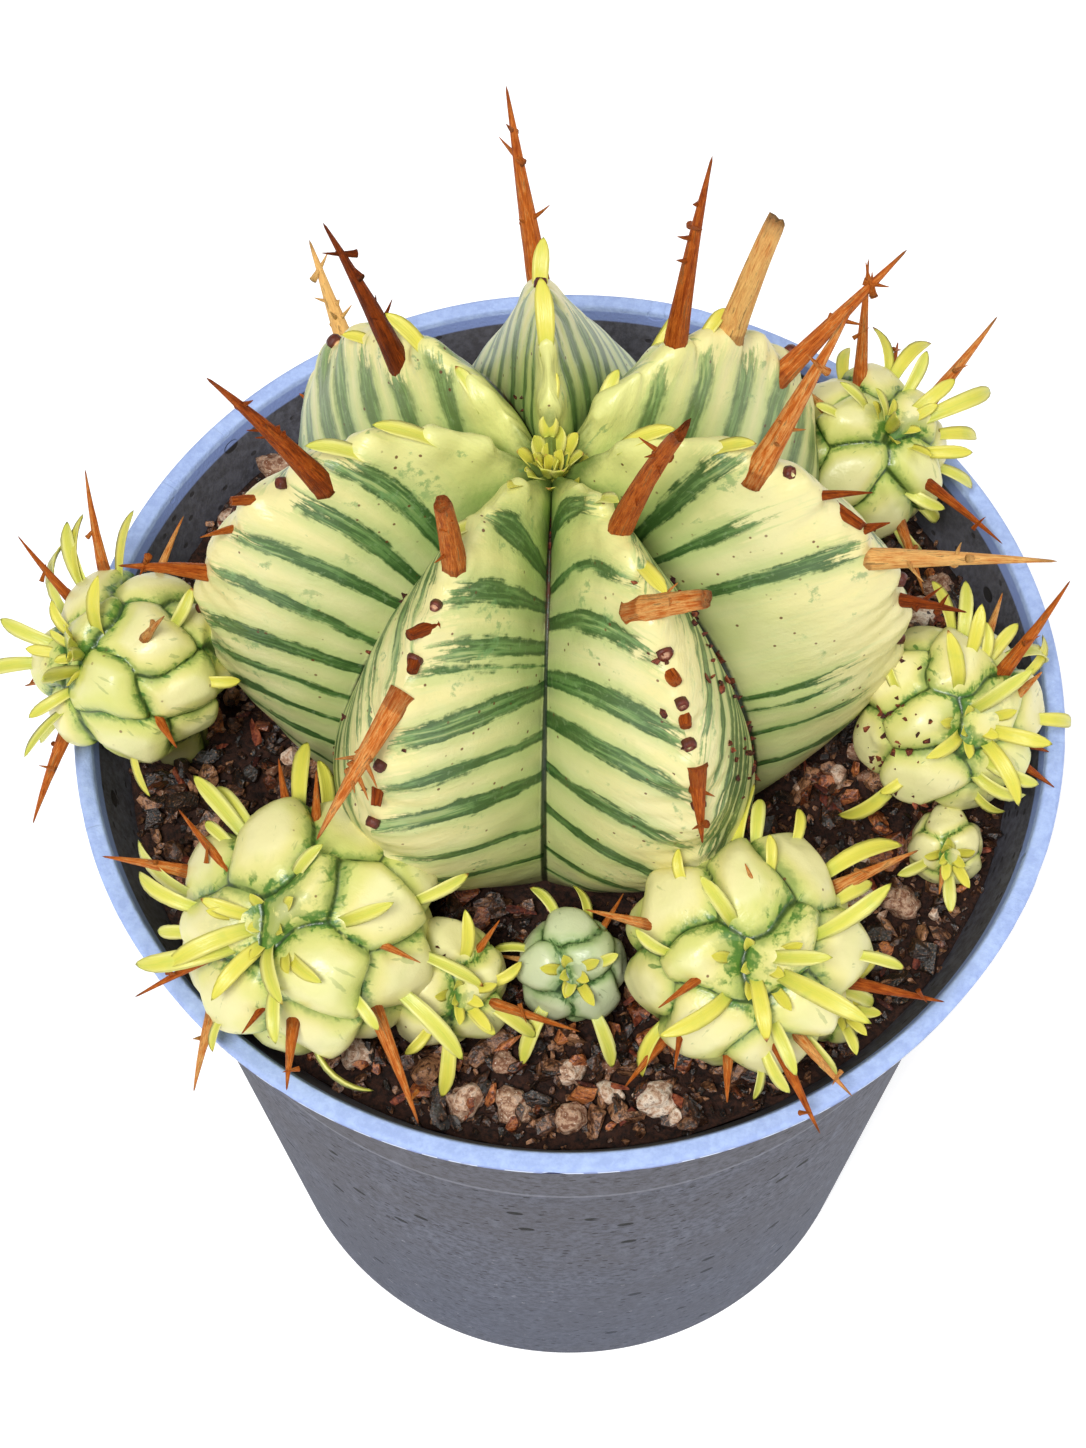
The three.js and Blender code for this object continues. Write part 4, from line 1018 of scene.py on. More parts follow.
# a tight cluster of young leaves in the sunken growing point
def buildApexBuds():
    seats = []
    for index in range(apexBuds["count"]):
        ring = apexBuds["spread"] * math.sqrt((index + 0.4) / apexBuds["count"])
        angle = math.radians(index * goldenAngle)
        skin = stemPoint(np.full(60, angle), np.linspace(0.002, 0.2, 60))
        far = np.hypot(*(skin[:, :2] - stem["axis"]).T)
        base = skin[np.argmin(np.abs(far - ring))] + [0, 0, apexBuds["lift"]]
        seats.append((base, *spikeWays(angle, math.radians(88 - 9 * ring)), 1.5 + 1.5 * scatter(index + 5),
                      0.85 + 0.45 * scatter(index + 8), -18, 16, 0, 0.3 + 0.5 * scatter(index)))
    growSpikes("apexBuds", seats, leafForm, leafLook)


buildStemSpikes()
buildApexBuds()
print("stem spikes made")


# Offsets: round heads of swollen tubercles on short necks
# leaves: azimuth, angle from the axis, length, lean, sideways turn; thorns: the same and the radius

offsets = {
    "offset_left": {
        "centre": (-55.2, -1.6, 147), "radius": 12.4, "tilt": 50, "heading": 194,
        "tubercles": 26, "neck": (-52, -0.5, 4),
        "leaves": [
            (120, 40, 11, 55, -10), (100, 54, 9, 30, 30), (100, 52, 10, 40, -10), (84, 72, 9, 30, 0),
            (20, 32, 8, 35, 60), (95, 16, 4, 40, 30), (10, 14, 6, 30, 0), (350, 16, 7, 30, 0),
            (300, 16, 11, 20, 20), (265, 26, 6, 40, -50), (245, 40, 7, 20, 0), (15, 80, 5, 40, 60),
            (343, 104, 4, 40, 20), (262, 95, 6, 20, 0), (215, 62, 7, 30, 0), (150, 20, 8, 35, 0),
            (180, 34, 9, 35, 0), (165, 62, 8, 40, 0),
        ],
        "thorns": [
            (90, 65, 13, 10, 0, 0.9), (110, 46, 10, 5, 0, 0.8), (70, 90, 8, 10, -30, 0.7),
            (5, 60, 9, 10, 0, 0.8), (232, 58, 13, 35, 0, 1), (205, 78, 9, 20, 0, 0.8),
            (310, 84, 5, 10, 0, 0.8), (180, 70, 9, 15, 0, 0.8), (140, 84, 8, 10, 0, 0.8),
        ],
    },
    "offset_front_left": {
        "centre": (-31.9, -35.4, 142.6), "radius": 16.4, "tilt": 30, "heading": 230,
        "tubercles": 30, "neck": (-31.5, -34, 7),
        "leaves": [
            (124, 73, 10, 20, 30), (120, 75, 9, 40, 20), (94, 84, 10, 35, 10), (80, 88, 8, 35, 40),
            (128, 58, 4, 40, 40), (60, 26, 6, 45, -20), (165, 64, 11, 40, -40), (170, 42, 9, 50, -20),
            (200, 8, 12, 60, 0), (185, 60, 6, 40, -10), (160, 10, 6, 45, 0), (215, 20, 13, 60, -20),
            (255, 12, 9, 50, -40), (275, 12, 9, 45, 20), (310, 20, 6, 45, 10), (278, 30, 7, 45, 0),
            (0, 38, 8, 35, 40), (10, 80, 7, 35, 40), (316, 58, 4, 40, 0), (275, 82, 9, 50, 60),
            (325, 88, 11, 30, -20), (345, 90, 8, 30, -40), (235, 58, 4, 40, 30),
        ],
        "thorns": [
            (136, 32, 12, 70, 0, 0.9), (154, 66, 11, 20, 50, 1), (210, 10, 15, 62, 0, 1),
            (100, 82, 6, 5, 0, 0.8), (76, 66, 6, 10, 40, 0.8), (350, 56, 5, 55, -20, 0.7),
            (226, 58, 10, 45, 40, 0.9), (262, 44, 4, 25, -50, 0.7), (277, 54, 9, 8, 0, 1),
            (315, 78, 15, 35, -50, 1.2),
        ],
    },
    "offset_front_left_lower": {
        "centre": (-15.4, -39.8, 134), "radius": 8.2, "tilt": 42, "heading": 300,
        "tubercles": 16, "neck": (-16, -39.5, 3.4),
        "leaves": [
            (80, 40, 6, 40, 0), (20, 30, 4, 50, 0), (335, 40, 7, 45, -20), (262, 58, 8, 35, 20),
            (300, 20, 4, 40, 0), (230, 50, 4, 40, 0),
        ],
        "thorns": [(340, 30, 12, 40, 0, 0.9), (60, 50, 5, 20, 0, 0.7)],
    },
    "offset_green": {
        "centre": (0.3, -37.4, 133.4), "radius": 7.2, "tilt": 30, "heading": 272,
        "tubercles": 14, "neck": (0.3, -37, 3),
        "leaves": [
            (106, 88, 5, 40, 30), (70, 88, 5, 45, 30), (156, 84, 5, 40, 50), (234, 66, 8, 35, 10),
            (298, 66, 7, 35, 0), (20, 30, 2.4, 30, 0), (270, 12, 2.4, 20, 0),
        ],
        "thorns": [(50, 88, 5, 20, 20, 0.6), (172, 88, 4, 30, 0, 0.6)],
    },
    "offset_front_right": {
        "centre": (21.6, -38.9, 141.4), "radius": 15, "tilt": 30, "heading": 279,
        "tubercles": 28, "neck": (21, -36.5, 6.5),
        "leaves": [
            (94, 90, 10, 40, -30), (84, 90, 7, 40, 10), (65, 88, 5, 40, 20), (78, 56, 4, 40, 20),
            (132, 62, 3.5, 40, -30), (174, 48, 5, 30, -40), (120, 26, 8, 35, 0), (24, 36, 11, 40, 20),
            (30, 82, 6, 35, 10), (45, 84, 13, 40, -30), (30, 8, 8, 40, -40), (335, 12, 13, 45, 10),
            (262, 8, 8, 55, 20), (285, 32, 7, 40, 30), (228, 24, 10, 45, -10), (220, 82, 7, 40, 30),
            (2, 60, 6, 35, -40), (340, 76, 6, 45, 10), (278, 58, 6, 40, 40), (277, 74, 4, 30, -40),
            (305, 66, 6, 30, 10),
        ],
        "thorns": [
            (161, 62, 8, 25, 10, 0.9), (78, 30, 5, 60, 40, 0.8), (190, 28, 6, 50, 30, 0.8),
            (215, 52, 6, 55, 60, 0.7), (38, 84, 13, 25, -40, 1.2), (345, 72, 12, 18, 10, 1),
            (258, 74, 6, 10, 60, 0.9), (286, 55, 12, 15, 30, 1), (300, 56, 10, 20, 30, 0.9),
            (226, 84, 8, 15, 20, 0.9),
        ],
    },
    "offset_front_right_lower": {
        "centre": (32, -41.2, 131.6), "radius": 5.6, "tilt": 40, "heading": 310,
        "tubercles": 12, "neck": (32, -41, 2.4),
        "leaves": [(60, 40, 5, 20, 0), (345, 20, 4, 10, 0), (285, 30, 4, 20, 0)],
        "thorns": [(145, 30, 6, 20, 0, 0.8)],
    },
    "offset_right": {
        "centre": (48.6, -5.6, 141), "radius": 12.2, "tilt": 38, "heading": 291,
        "tubercles": 24, "neck": (47, -5, 5),
        "leaves": [
            (94, 72, 7, 45, 20), (88, 68, 7, 35, -30), (88, 50, 6, 30, -20), (74, 50, 4, 40, 0),
            (66, 58, 6, 40, -10), (110, 30, 8, 40, -10), (54, 64, 10, 80, -60), (30, 74, 7, 50, 20),
            (97, 12, 10, 40, -40), (210, 10, 7, 45, 0), (350, 10, 8, 50, 0), (310, 14, 9, 55, 0),
            (290, 26, 8, 60, 60), (275, 36, 8, 65, 60), (283, 64, 5, 50, 60), (229, 84, 9, 45, 10),
            (222, 60, 3, 40, 0), (155, 60, 3.5, 55, -60), (0, 64, 7, 50, 0),
        ],
        "thorns": [
            (52, 46, 15, 20, 30, 1.1), (30, 34, 4, 35, 30, 0.9), (326, 66, 6, 35, 0, 0.8),
            (340, 70, 5, 40, 0, 0.8), (64, 84, 6, 20, 0, 0.8),
        ],
    },
    "offset_right_lower": {
        "centre": (48.8, -19.2, 130.8), "radius": 5, "tilt": 45, "heading": 270,
        "tubercles": 12, "neck": (48.8, -19, 2.2),
        "leaves": [(270, 40, 5, 20, 0), (200, 40, 4, 30, 0), (90, 10, 3, 30, 0)],
        "thorns": [(250, 20, 4, 20, 0, 0.7)],
    },
    "offset_upper_right": {
        "centre": (39, 32.6, 143.6), "radius": 11.6, "tilt": 26, "heading": 345,
        "tubercles": 24, "neck": (40.5, 33, 4.4),
        "leaves": [
            (84, 57, 7, 40, 10), (80, 54, 9, 45, -30), (72, 30, 6, 35, 0), (155, 10, 5, 35, 0),
            (205, 10, 9, 15, 0), (20, 20, 12, 62, 0), (327, 30, 6, 40, 60), (116, 72, 6, 45, -40),
            (163, 26, 5, 45, 0), (178, 44, 3, 40, 0), (295, 54, 5, 40, 50), (320, 80, 6, 45, 50),
            (293, 84, 7, 60, 50), (348, 66, 7, 40, 0), (45, 14, 7, 45, 0), (10, 48, 8, 50, 0),
        ],
        "thorns": [
            (120, 50, 16, 20, -60, 1.1), (36, 26, 15, 40, 30, 1.1), (310, 46, 13, 20, 0, 0.9),
            (296, 80, 10, 20, 0, 0.9), (167, 56, 6, 5, 0, 0.9), (70, 80, 9, 20, 0, 0.9),
        ],
    },
}
head = {
    "creaseDepth": 0.16, "creaseSpread": 0.42, "roll": 0.06, "apexDip": 0.08, "stretch": 1.5,
    "warp": 0.16, "warpSize": 0.55, "unequal": 0.07,
    "neckTop": 0.3, "neckSpread": 0.7, "neckTaper": 0.75, "neckFoot": 3, "fillet": 2.0,
    "swells": ((5, 2.0, 0.25), (1.8, 6.0, 0.08)), "fineAbove": 10,
    # leafBend gives the lean at the foot and at the tip, as shares of the leaf's own lean
    "leafWidth": (0.62, 0.048), "leafBend": (0.2, 1.8), "leafSway": 0.45, "thornBend": 4,
}
# small leaflets that crowd round the growing point: angle from the axis and length are those of the first
# and what each further one adds
leaflets = {
    "count": 7, "turn": 200, "fromAxis": (5, 2.2), "length": (1.6, 0.35), "width": 0.75, "bend": (5, 40),
}


def headFrame(offset):
    tilt, heading = math.radians(offset["tilt"]), math.radians(offset["heading"])
    axis = np.array([math.sin(tilt) * math.cos(heading), math.sin(tilt) * math.sin(heading), math.cos(tilt)])
    first = unit(np.array([1.0, 0, 0]) - axis * axis[0])
    return axis, first, np.cross(axis, first)


def headDirection(axes, azimuth, fromAxis):
    azimuth, fromAxis = math.radians(azimuth), math.radians(fromAxis)
    axis, first, second = axes
    ring = math.sin(fromAxis)
    return axis * math.cos(fromAxis) + first * ring * math.cos(azimuth) + second * ring * math.sin(azimuth)


def tubercleTops(axes, count):
    return np.array([headDirection(axes, i * goldenAngle + 40, 180 * ((i + 0.5) / count) ** 0.68)
                     for i in range(count)])


# distance from the centre to the skin, with the crease fact of each direction
def headReach(offset, axes, tops, directions):
    axis = axes[0]
    outs = unit(tops * (tops @ axis)[:, None] - axis)
    warp = np.stack([softNoise(directions, head["warpSize"], k * 7.3 + offset["radius"])
                     for k in range(3)], axis=1)
    apart = (directions + warp * head["warp"])[:, None, :] - tops[None, :, :]
    radial = np.einsum("ijk,jk->ij", apart, outs)
    # lobes are longer away from the growing point than they are wide
    gaps = np.sqrt(np.maximum((apart ** 2).sum(axis=2) - radial ** 2 * (1 - 1 / head["stretch"] ** 2), 0))
    order = np.sort(gaps, axis=1)
    nearest = np.argmin(gaps, axis=1)
    gap = np.clip((order[:, 1] - order[:, 0]) / head["creaseSpread"], 0, 1)
    swell = np.sqrt(gap)
    roll = radial[np.arange(len(directions)), nearest] * head["roll"] * 4 * swell
    tall = np.array([scatter(k * 9 + offset["radius"]) - 0.5 for k in range(len(tops))])[nearest]
    depth = head["creaseDepth"]
    reach = 1 - depth + (depth + head["unequal"] * tall) * swell + np.clip(roll, -0.06, 0.06)
    polar = np.arccos(np.clip(directions @ axis, -1, 1))
    reach -= head["apexDip"] * np.exp(-(polar / 0.3) ** 2)
    return reach * offset["radius"], gap, polar, nearest


# distance from the centre to the side of the neck below it, for directions that point down
def neckReach(offset, directions):
    x, y, z = offset["centre"]
    neckX, neckY, neckRadius = offset["neck"]
    depth = z - (soilTop - head["neckFoot"])
    start = head["neckTop"] * offset["radius"]
    depths = np.linspace(start, depth, 60)
    share = np.clip((depths - start) / (depth * head["neckTaper"]), 0, 1)
    wide = offset["radius"] * head["neckSpread"]
    sides = wide + (neckRadius - wide) * share ** 0.7
    slopes = sides / depths
    fall = np.maximum(-directions[:, 2], 1e-3)
    lateral = directions[:, :2] / fall[:, None] - np.array([neckX - x, neckY - y]) / depth
    slope = np.linalg.norm(lateral, axis=1)
    hit = np.interp(slope, slopes[::-1], depths[::-1])
    hit[slope > slopes[0]] = 0
    return np.where(directions[:, 2] < -0.05, hit / fall, 0)


def ballDirections(level):
    mesh = bmesh.new()
    bmesh.ops.create_icosphere(mesh, subdivisions=level, radius=1)
    points = np.array([v.co for v in mesh.verts])
    faces = [[v.index for v in f.verts] for f in mesh.faces]
    mesh.free()
    return unit(points), faces


def buildHead(name, offset):
    axes = headFrame(offset)
    tops = tubercleTops(axes, offset["tubercles"])
    directions, faces = ballDirections(6 if offset["radius"] > head["fineAbove"] else 5)
    reach, gap, polar, nearest = headReach(offset, axes, tops, directions)
    below = neckReach(offset, directions)
    ease = np.maximum(head["fillet"] - np.abs(reach - below), 0) / head["fillet"]
    reach = np.maximum(reach, below) + ease ** 2 * head["fillet"] / 4
    points = np.array(offset["centre"]) + directions * reach[:, None]
    reach = reach + softSum(points, head["swells"])
    points = np.array(offset["centre"]) + directions * reach[:, None]
    own = np.array([scatter(k * 5 + 3) for k in range(len(tops))])[nearest]
    look, slot = (greenHeadLook, "green_offset_skin") if name == "offset_green" else (headLook, "offset_skin")
    swirl = unit(np.stack([directions @ axes[1], directions @ axes[2]], axis=1))
    facts = {"lobe": np.stack([gap, polar / np.pi, own], axis=1), "swirl": np.column_stack([swirl, polar])}
    settle(newPiece(name + "_body", points, faces, look, facts), name)

    def seat(azimuth, fromAxis, turn):
        normal = headDirection(axes, azimuth, fromAxis)
        outward = unit(normal * np.dot(axes[0], normal) - axes[0])
        turned = math.radians(turn)
        away = outward * math.cos(turned) + np.cross(normal, outward) * math.sin(turned)
        distance = headReach(offset, axes, tops, normal[None, :])[0][0]
        return np.array(offset["centre"]) + normal * distance, normal, away

    leaves = []
    narrow, wider = head["leafWidth"]
    for index, (azimuth, fromAxis, length, lean, turn) in enumerate(offset["leaves"]):
        dice = [scatter(index * 4 + k + offset["radius"] * 10) for k in range(2)]
        bend = [lean * share for share in head["leafBend"]]
        leaves.append((*seat(azimuth, fromAxis, turn), length, narrow + wider * length, *bend,
                       head["leafSway"] * (dice[0] - 0.5), dice[1]))
    for index in range(leaflets["count"]):
        fromAxis, length = (leaflets[key][0] + leaflets[key][1] * index for key in ("fromAxis", "length"))
        leaves.append((*seat(index * goldenAngle + leaflets["turn"], fromAxis, 0), length, leaflets["width"],
                       *leaflets["bend"], 0, 0.7 + 0.3 * scatter(index)))
    growSpikes(name + "_leaves", leaves, leafForm, leafLook)
    thorns = []
    for index, (azimuth, fromAxis, length, lean, turn, radius) in enumerate(offset["thorns"]):
        tint = 0.35 + 0.35 * scatter(index * 3 + offset["radius"])
        thorn = (*seat(azimuth, fromAxis, turn), length, radius, lean - head["thornBend"],
                 lean + head["thornBend"], 0.06 * (tint - 0.5), tint)
        thorns.append(thorn)
        if length > spike["nubsAbove"]:
            thorns.extend(nubsOn(thorn, index + 60, 1, 0.3))
    growSpikes(name + "_thorns", thorns, sharpThorn, thornLook, spike["thornSink"])


for offsetName, offsetRow in offsets.items():
    buildHead(offsetName, offsetRow)
print("offsets made")


# Soil

soil = {
    "relief": 1.6, "rings": 90, "columns": 260, "gap": 0.7,
    "bankHeading": 138, "bankWidth": 16, "bankHeight": 3.2, "bankStart": 48, "bankRun": 8,
    "stones": 16, "stoneField": 55, "stoneRadius": (1.5, 1.1), "clearOfStem": 47, "clearOfHead": 0.85,
    "givenStones": [(11, -52.5, 2.7), (-7, -53, 2.1), (0, -48.5, 1.9), (-27, -46, 2), (-40.5, 39, 2.6),
                    (-46, 31, 2)],
    "middle": 125.0, "levels": (118, 60, 3.9), "roughness": ((2.6, 1.0, 0.9), (1.1, 4.0, 0.45)),
    "stoneRoughness": ((9, 3.0, 0.5), (3.5, 1, 0.18)),  # size, seed for each stone, height
}


def crumbHeight(x, y):
    coarse = np.sin(x * 0.35 + 1.3) * np.cos(y * 0.41 + 0.4)
    fine = np.sin(x * 0.87 + y * 0.53) * np.cos(y * 0.95 - x * 0.29)
    # the mix lies higher against the wall at the back left
    aside = (np.degrees(np.arctan2(y, x)) - soil["bankHeading"]) / soil["bankWidth"]
    outward = np.clip((np.hypot(x, y) - soil["bankStart"]) / soil["bankRun"], 0, 1)
    bank = soil["bankHeight"] * np.exp(-aside ** 2) * outward
    return soilTop - soil["relief"] * (0.5 + 0.28 * coarse + 0.22 * fine) + bank


def buildSoil():
    outer = innerRadius(soilTop) - soil["gap"]
    angles = wholeTurn(soil["columns"])
    points = []
    for ring in range(1, soil["rings"] + 1):
        flat = ringPoints(angles, outer * (ring / soil["rings"]) ** 0.8, 0)
        rough = softSum(flat, soil["roughness"])
        flat[:, 2] = crumbHeight(flat[:, 0], flat[:, 1]) + rough - 0.3
        points.append(flat)
    points += [ringPoints(angles, innerRadius(z) - soil["gap"], z) for z in soil["levels"]]
    faces = closedFaces(len(points), soil["columns"])
    points = np.concatenate(points + [[[0, 0, soil["middle"]], [0, 0, soil["levels"][-1]]]])
    settle(newPiece("soilBed", points, faces, soilMatter), "soil")


# an angular fragment: the hull of a few points in a box
def hullBlank(name, seed, box, count):
    mesh = bmesh.new()
    for k in range(count):
        way = [scatter(seed * 100 + k * 3 + j) * 2 - 1 for j in range(3)]
        length = max(0.6, math.sqrt(sum(v * v for v in way)))
        mesh.verts.new([v / length * size for v, size in zip(way, box)])
    result = bmesh.ops.convex_hull(mesh, input=mesh.verts)
    bmesh.ops.delete(mesh, geom=[v for v in result["geom_interior"] if isinstance(v, bmesh.types.BMVert)],
                     context="VERTS")
    bmesh.ops.recalc_face_normals(mesh, faces=mesh.faces)
    data = bpy.data.meshes.new(name)
    mesh.to_mesh(data)
    mesh.free()
    return bpy.data.objects.new(name, data)


def blankSet(name, count, seed, box, points):
    group = bpy.data.collections.new(name)
    for k in range(count):
        group.objects.link(hullBlank(f"{name}{k}", seed + k, box, points))
    return group


def buildScatterTree():
    sheet, given = newTree("litter", {
        "Blanks": "Collection", "Finish": "Material", "Density": "Float", "Smallest": "Float",
        "Largest": "Float", "Tilt": "Float", "Seed": "Int"})

    def draw(low, high, shift):
        return sheet.add("FunctionNodeRandomValue", {"data_type": "FLOAT"},
                         {2: low, 3: high, "Seed": given["Seed"] + float(shift)}, 1)

    spread = sheet.add("GeometryNodeDistributePointsOnFaces", None,
                       {"Mesh": given["Geometry"], "Density": given["Density"], "Seed": given["Seed"]})
    turn = Wire(sheet, spread.socket.node.outputs["Rotation"])
    blanks = sheet.add("GeometryNodeCollectionInfo", None,
                       {"Collection": given["Blanks"], "Separate Children": True, "Reset Children": True})
    tilts = [draw(0.0, 1.0, shift) * given["Tilt"] - given["Tilt"] * 0.5 for shift in (1, 2)]
    turned = sheet.add("FunctionNodeRotateRotation", {"rotation_space": "LOCAL"},
                       {"Rotation": turn, "Rotate By": sheet.join(*tilts, draw(0.0, 2 * math.pi, 3))})
    size = draw(given["Smallest"], given["Largest"], 4)
    placed = sheet.add("GeometryNodeInstanceOnPoints", None, {
        "Points": spread, "Instance": blanks, "Pick Instance": True, "Rotation": turned,
        "Scale": sheet.join(size, size, size)})
    tint = sheet.join(draw(0.0, 1.0, 5), draw(0.0, 1.0, 6))
    tinted = sheet.add("GeometryNodeStoreNamedAttribute", {"data_type": "FLOAT_VECTOR", "domain": "INSTANCE"},
                       {"Geometry": placed, "Name": "tint", "Value": tint})
    return closeTree(sheet, tinted, given["Finish"])


scatterTree = buildScatterTree()


def quadPiece(name, quads):
    points = np.concatenate(quads)
    return newPiece(name, points, np.arange(len(points)).reshape(-1, 4), None)


# open ground: small squares of the soil's top that nothing stands on
def openGround(name, lift, border):
    step, across, aroundStem, aroundNeck = 1.5, 40, 35, 0.75
    quads = []
    for i in range(-across, across):
        for j in range(-across, across):
            x, y = (i + 0.5) * step, (j + 0.5) * step
            taken = math.hypot(x, y) >= innerRadius(soilTop) - border
            taken = taken or math.dist((x, y), stem["axis"]) <= aroundStem
            if taken or any(math.dist((x, y), row["neck"][:2]) <= row["neck"][2] * aroundNeck + 1
                            for row in offsets.values()):
                continue
            px, py = (np.array(corners) * step for corners in ((i, i + 1, i + 1, i), (j, j, j + 1, j + 1)))
            quads.append(np.stack([px, py, crumbHeight(px, py) + lift], axis=1))
    return quadPiece(name, quads)


def stonePlaces():
    places = list(soil["givenStones"])
    draw = 0
    while len(places) < soil["stones"]:
        angle = 2 * math.pi * scatter(draw * 3 + 1)
        distance = soil["stoneField"] * math.sqrt(scatter(draw * 3 + 2))
        radius = soil["stoneRadius"][0] + soil["stoneRadius"][1] * scatter(draw * 3 + 3)
        spot = distance * math.cos(angle), distance * math.sin(angle)
        taken = [(stem["axis"], soil["clearOfStem"])] + [((x, y), other) for x, y, other in places]
        taken += [(row["centre"][:2], row["radius"] * soil["clearOfHead"] + 1) for row in offsets.values()]
        if all(math.dist(spot, centre) > reach + radius for centre, reach in taken):
            places.append((*spot, radius))
        draw += 1
    return places


def buildStones():
    directions, faces = ballDirections(3)
    points, allFaces, tints = [], [], []
    for index, (x, y, radius) in enumerate(stonePlaces()):
        layers = [(size, seed * index, height) for size, seed, height in soil["stoneRoughness"]]
        rough = 1 + softSum(directions * 10, layers)
        shape = directions * rough[:, None] * [1, 0.8 + 0.3 * scatter(index), 0.7] * radius
        allFaces += [[k + len(directions) * index for k in face] for face in faces]
        points.append(shape + [x, y, crumbHeight(x, y) + 0.8 + radius * 0.15])
        tints += [(0.95 if index == 0 else 0.35 + 0.65 * scatter(index + 20), 0, 0)] * len(directions)
    stones = newPiece("pumiceStones", np.concatenate(points), allFaces, pumiceLook, {"tint": tints})
    settle(stones)


# blanks of litter: how many forms, seed, box in metres, points of each hull
litterBlanks = {
    "crumbBlank": (4, 11, (0.001, 0.0009, 0.0006), 12), "chipBlank": (6, 31, (0.0024, 0.0017, 0.0008), 16),
    "gritBlank": (4, 71, (0.0014, 0.0012, 0.001), 16), "lumpBlank": (5, 151, (0.0022, 0.0019, 0.0015), 28),
    "shardBlank": (4, 91, (0.0024, 0.0008, 0.0003), 12), "fleckBlank": (5, 131, (0.00085, 0.0005, 0.0004), 9),
}
# layers of litter: height over the soil, gap to the wall, blanks, finish, then the tree's own values
litterLayers = {
    "soilCrumbs": (0.2, 1.0, "crumbBlank", barkLook, (420000.0, 0.4, 1.1, 3.0, 3)),
    "barkChips": (0.9, 2.0, "chipBlank", barkLook, (110000.0, 0.35, 1.15, 2.6, 8)),
    "redBarkChips": (1.1, 2.2, "chipBlank", redBarkLook, (50000.0, 0.35, 1.15, 2.6, 21)),
    "barkLumps": (1.0, 2.6, "lumpBlank", barkLook, (16000.0, 0.5, 1.2, 3.0, 33)),
    "pumiceGrit": (1.2, 2.6, "gritBlank", pumiceLook, (6000.0, 0.4, 1.5, 3.0, 5)),
    "redFlakes": (1.6, 3.0, "shardBlank", flakeLook, (22000.0, 0.4, 1.15, 1.0, 12)),
}


def strew(piece, blanks, finish, values):
    named = dict(zip(("Density", "Smallest", "Largest", "Tilt", "Seed"), values))
    useTree(piece, scatterTree, Blanks=blanks, Finish=finish, **named)
    settle(piece)


def buildLitterPieces():
    for name, (lift, border, form, finish, values) in litterLayers.items():
        strew(openGround(name, lift, border), blankSets[form], finish, values)


# crumbs and dry flakes that have fallen on the plant: rib, place across it, share of the way down, how thick
crumbPatches = [
    (4, (0.3, 0.98), (0.32, 0.62), 1.1), (4, (0.86, 0.99), (0.2, 0.8), 2.8),
    (4, (0.4, 0.95), (0.62, 0.8), 0.9), (4, (-0.12, 0.1), (0.28, 0.66), 0.7),
    (3, (-0.12, 0.12), (0.3, 0.62), 0.8), (3, (0.95, 1.0), (0.13, 0.22), 24),
    (4, (-1.0, -0.95), (0.13, 0.22), 16), (0, (-0.98, -0.8), (0.2, 0.34), 1.6),
    (0, (0.8, 0.98), (0.16, 0.3), 1.6), (5, (-0.1, 0.3), (0.5, 0.66), 0.6),
    (2, (-0.3, 0.2), (0.4, 0.6), 0.4), (3, (-0.95, -0.6), (0.35, 0.7), 0.4),
]
# head, azimuth, angle from its axis, angle across, how thick
headCrumbs = [
    ("offset_right", 190, 50, 44, 3), ("offset_right", 186, 76, 40, 8), ("offset_right", 228, 72, 34, 6),
    ("offset_right", 150, 60, 30, 3), ("offset_upper_right", 250, 55, 34, 0.8),
    ("offset_front_left_lower", 100, 60, 40, 1.6), ("offset_front_right", 290, 84, 26, 0.8),
]


# squares across and down each patch, how much wider than high a head patch is, heights over the skin,
# and the tree's own values as in the layers above
dryCrumbs = {
    "stemSquares": (6, 8), "headSquares": (5, 5), "headStretch": 1.4, "lift": 0.15, "layer": 0.05,
    "values": (170000.0, 0.35, 1.25, 2.5, 4),
}


def buildDryCrumbs():
    patches = []

    # small quads over a patch, from a function of the shares across it and down it
    def cover(thick, across, down, pointsAt):
        for i in range(across):
            for j in range(down):
                u, v = np.array([i, i, i + 1, i + 1]) / across, np.array([j, j + 1, j + 1, j]) / down
                patches.append((pointsAt(u, v), thick))

    for rib, places, downs, thick in crumbPatches:
        def onStem(u, v):
            turns = [crestAngle(rib + place / 2) for place in places[0] + (places[1] - places[0]) * u]
            return stemPoint(np.array(turns), downs[0] + (downs[1] - downs[0]) * v)
        cover(thick, *dryCrumbs["stemSquares"], onStem)
    for name, azimuth, fromAxis, across, thick in headCrumbs:
        row = offsets[name]
        axes = headFrame(row)

        def onHead(u, v):
            ways = np.array([headDirection(axes, azimuth + (a - 0.5) * across * dryCrumbs["headStretch"],
                                           fromAxis + (b - 0.5) * across) for a, b in zip(u, v)])
            reach = headReach(row, axes, tubercleTops(axes, row["tubercles"]), ways)[0]
            return np.array(row["centre"]) + ways * reach[:, None]
        cover(thick, *dryCrumbs["headSquares"], onHead)
    quads = []
    for index, (quad, thick) in enumerate(patches):
        normal = unit(np.cross(quad[2] - quad[0], quad[1] - quad[3]))
        outward = 1 if np.dot(normal, quad[0] - [0, 0, 130]) > 0 else -1
        for layer in range(int(0.35 * thick + scatter(index * 1.7))):
            quads.append(quad + normal * outward * (dryCrumbs["lift"] + dryCrumbs["layer"] * layer))
    strew(quadPiece("dryCrumbs", quads), blankSets["fleckBlank"], flakeLook, dryCrumbs["values"])


buildSoil()
buildStones()
blankSets = {name: blankSet(name, *row) for name, row in litterBlanks.items()}
buildLitterPieces()
buildDryCrumbs()
print("soil made")


# Studio

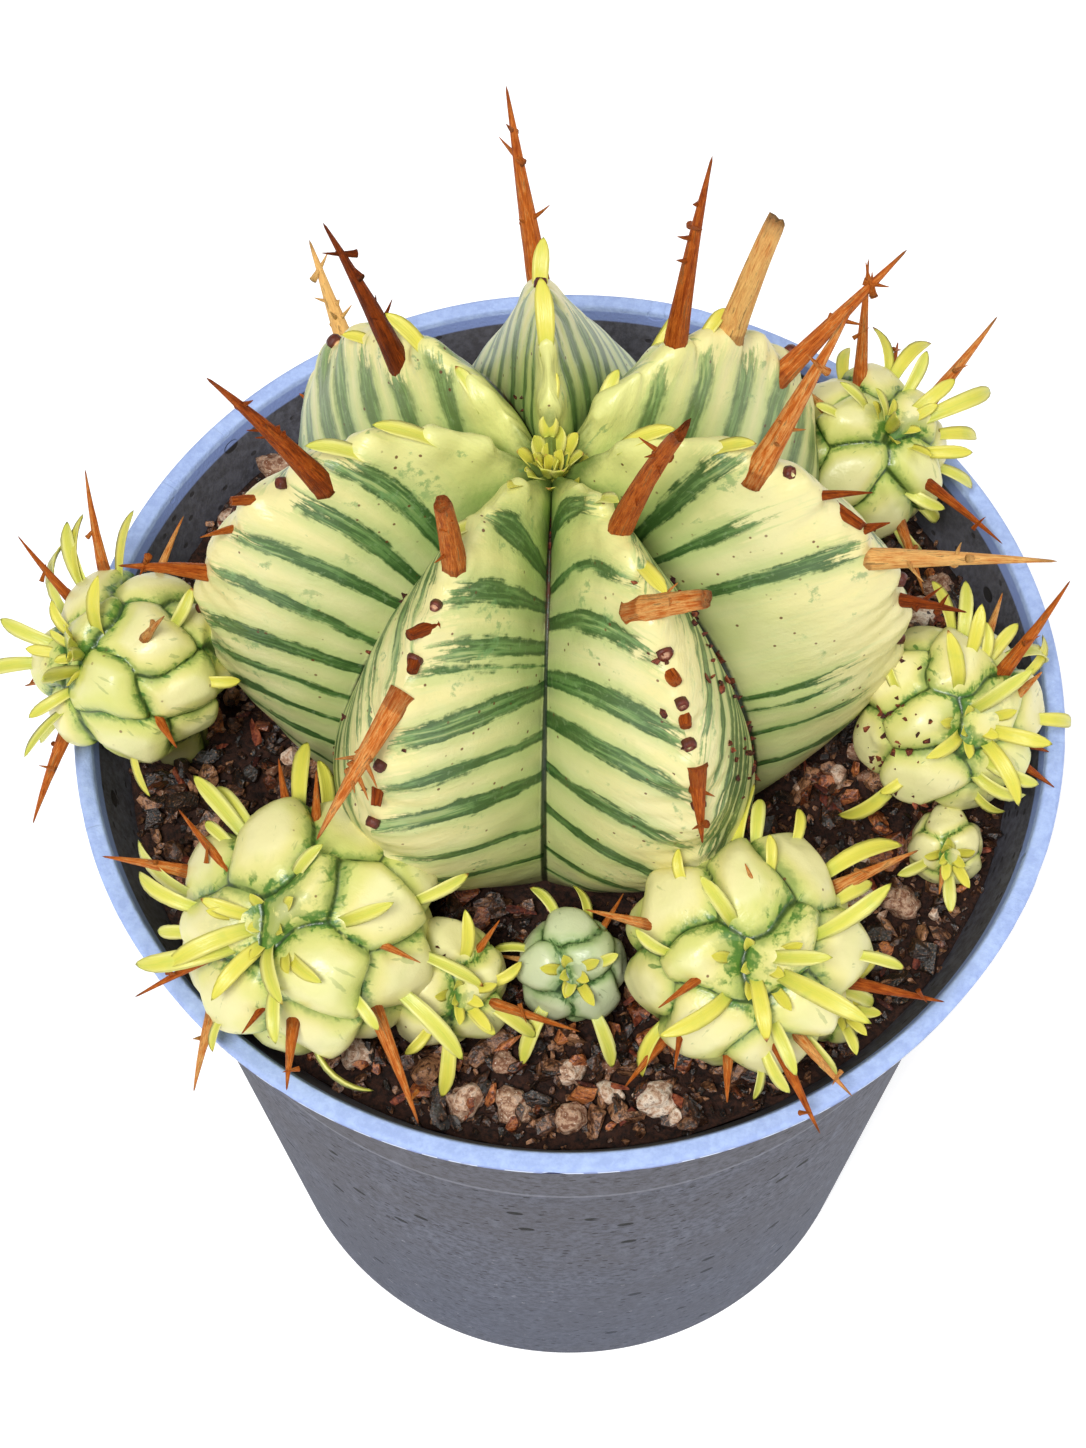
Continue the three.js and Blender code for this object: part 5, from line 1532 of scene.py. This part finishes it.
studio = {
    "reach": 3000, "drop": 0.0002, "glow": 0.36, "world": 0.33, "aim": (0, 0, 0.14),
    # place, size, watts
    "lamps": {"key": ((-0.35, -0.95, 2.1), 0.6, 41.0), "fill": ((1.2, 0.2, 1.8), 1.2, 9.0)},
}
# focal length, height of the picture and sideways shift in pixels, place in metres
view = {"pitch": 62.35, "focal": 3150, "picture": 1448, "shift": -26, "place": (0, -0.1945, 0.4993)}


def buildStudio():
    scene = bpy.context.scene
    scene.view_settings.view_transform = "Standard"
    reach = studio["reach"]
    corners = [(-reach, -reach, 0), (reach, -reach, 0), (reach, reach, 0), (-reach, reach, 0)]
    sheet = newFinish("paleFloor")
    colour = sheet.mix(sheet.spot().grain(0.01, 2), (246, 246, 246), (250, 250, 250))
    finish = surface(sheet, colour, 0.8, Emission_Color=(1, 1, 1, 1), Emission_Strength=studio["glow"])
    floor = newPiece("floor", corners, [(0, 1, 2, 3)], finish)
    floor.location.z = -studio["drop"]

    world = bpy.data.worlds.new("studio")
    world.use_nodes = True
    world.node_tree.nodes["Background"].inputs[0].default_value = (1, 1, 1, 1)
    world.node_tree.nodes["Background"].inputs[1].default_value = studio["world"]
    scene.world = world
    for name, (place, size, power) in studio["lamps"].items():
        light = bpy.data.lights.new(name, "AREA")
        light.size = size
        light.energy = power
        lamp = bpy.data.objects.new(name, light)
        lamp.location = place
        lamp.rotation_euler = (Vector(studio["aim"]) - Vector(place)).to_track_quat("-Z", "Y").to_euler()
        scene.collection.objects.link(lamp)


def buildCamera():
    pitch = math.radians(view["pitch"])
    data = bpy.data.cameras.new("camera")
    data.sensor_width = 36
    data.lens = view["focal"] / view["picture"] * data.sensor_width
    data.shift_x = view["shift"] / view["picture"]
    data.clip_start = 0.01
    camera = bpy.data.objects.new("camera", data)
    ways = (1, 0, 0), (0, math.sin(pitch), math.cos(pitch)), (0, -math.cos(pitch), math.sin(pitch))
    camera.matrix_world = Matrix.Translation(view["place"]) @ Matrix(ways).transposed().to_4x4()
    bpy.context.scene.collection.objects.link(camera)
    bpy.context.scene.camera = camera


buildStudio()
buildCamera()
print("studio made")
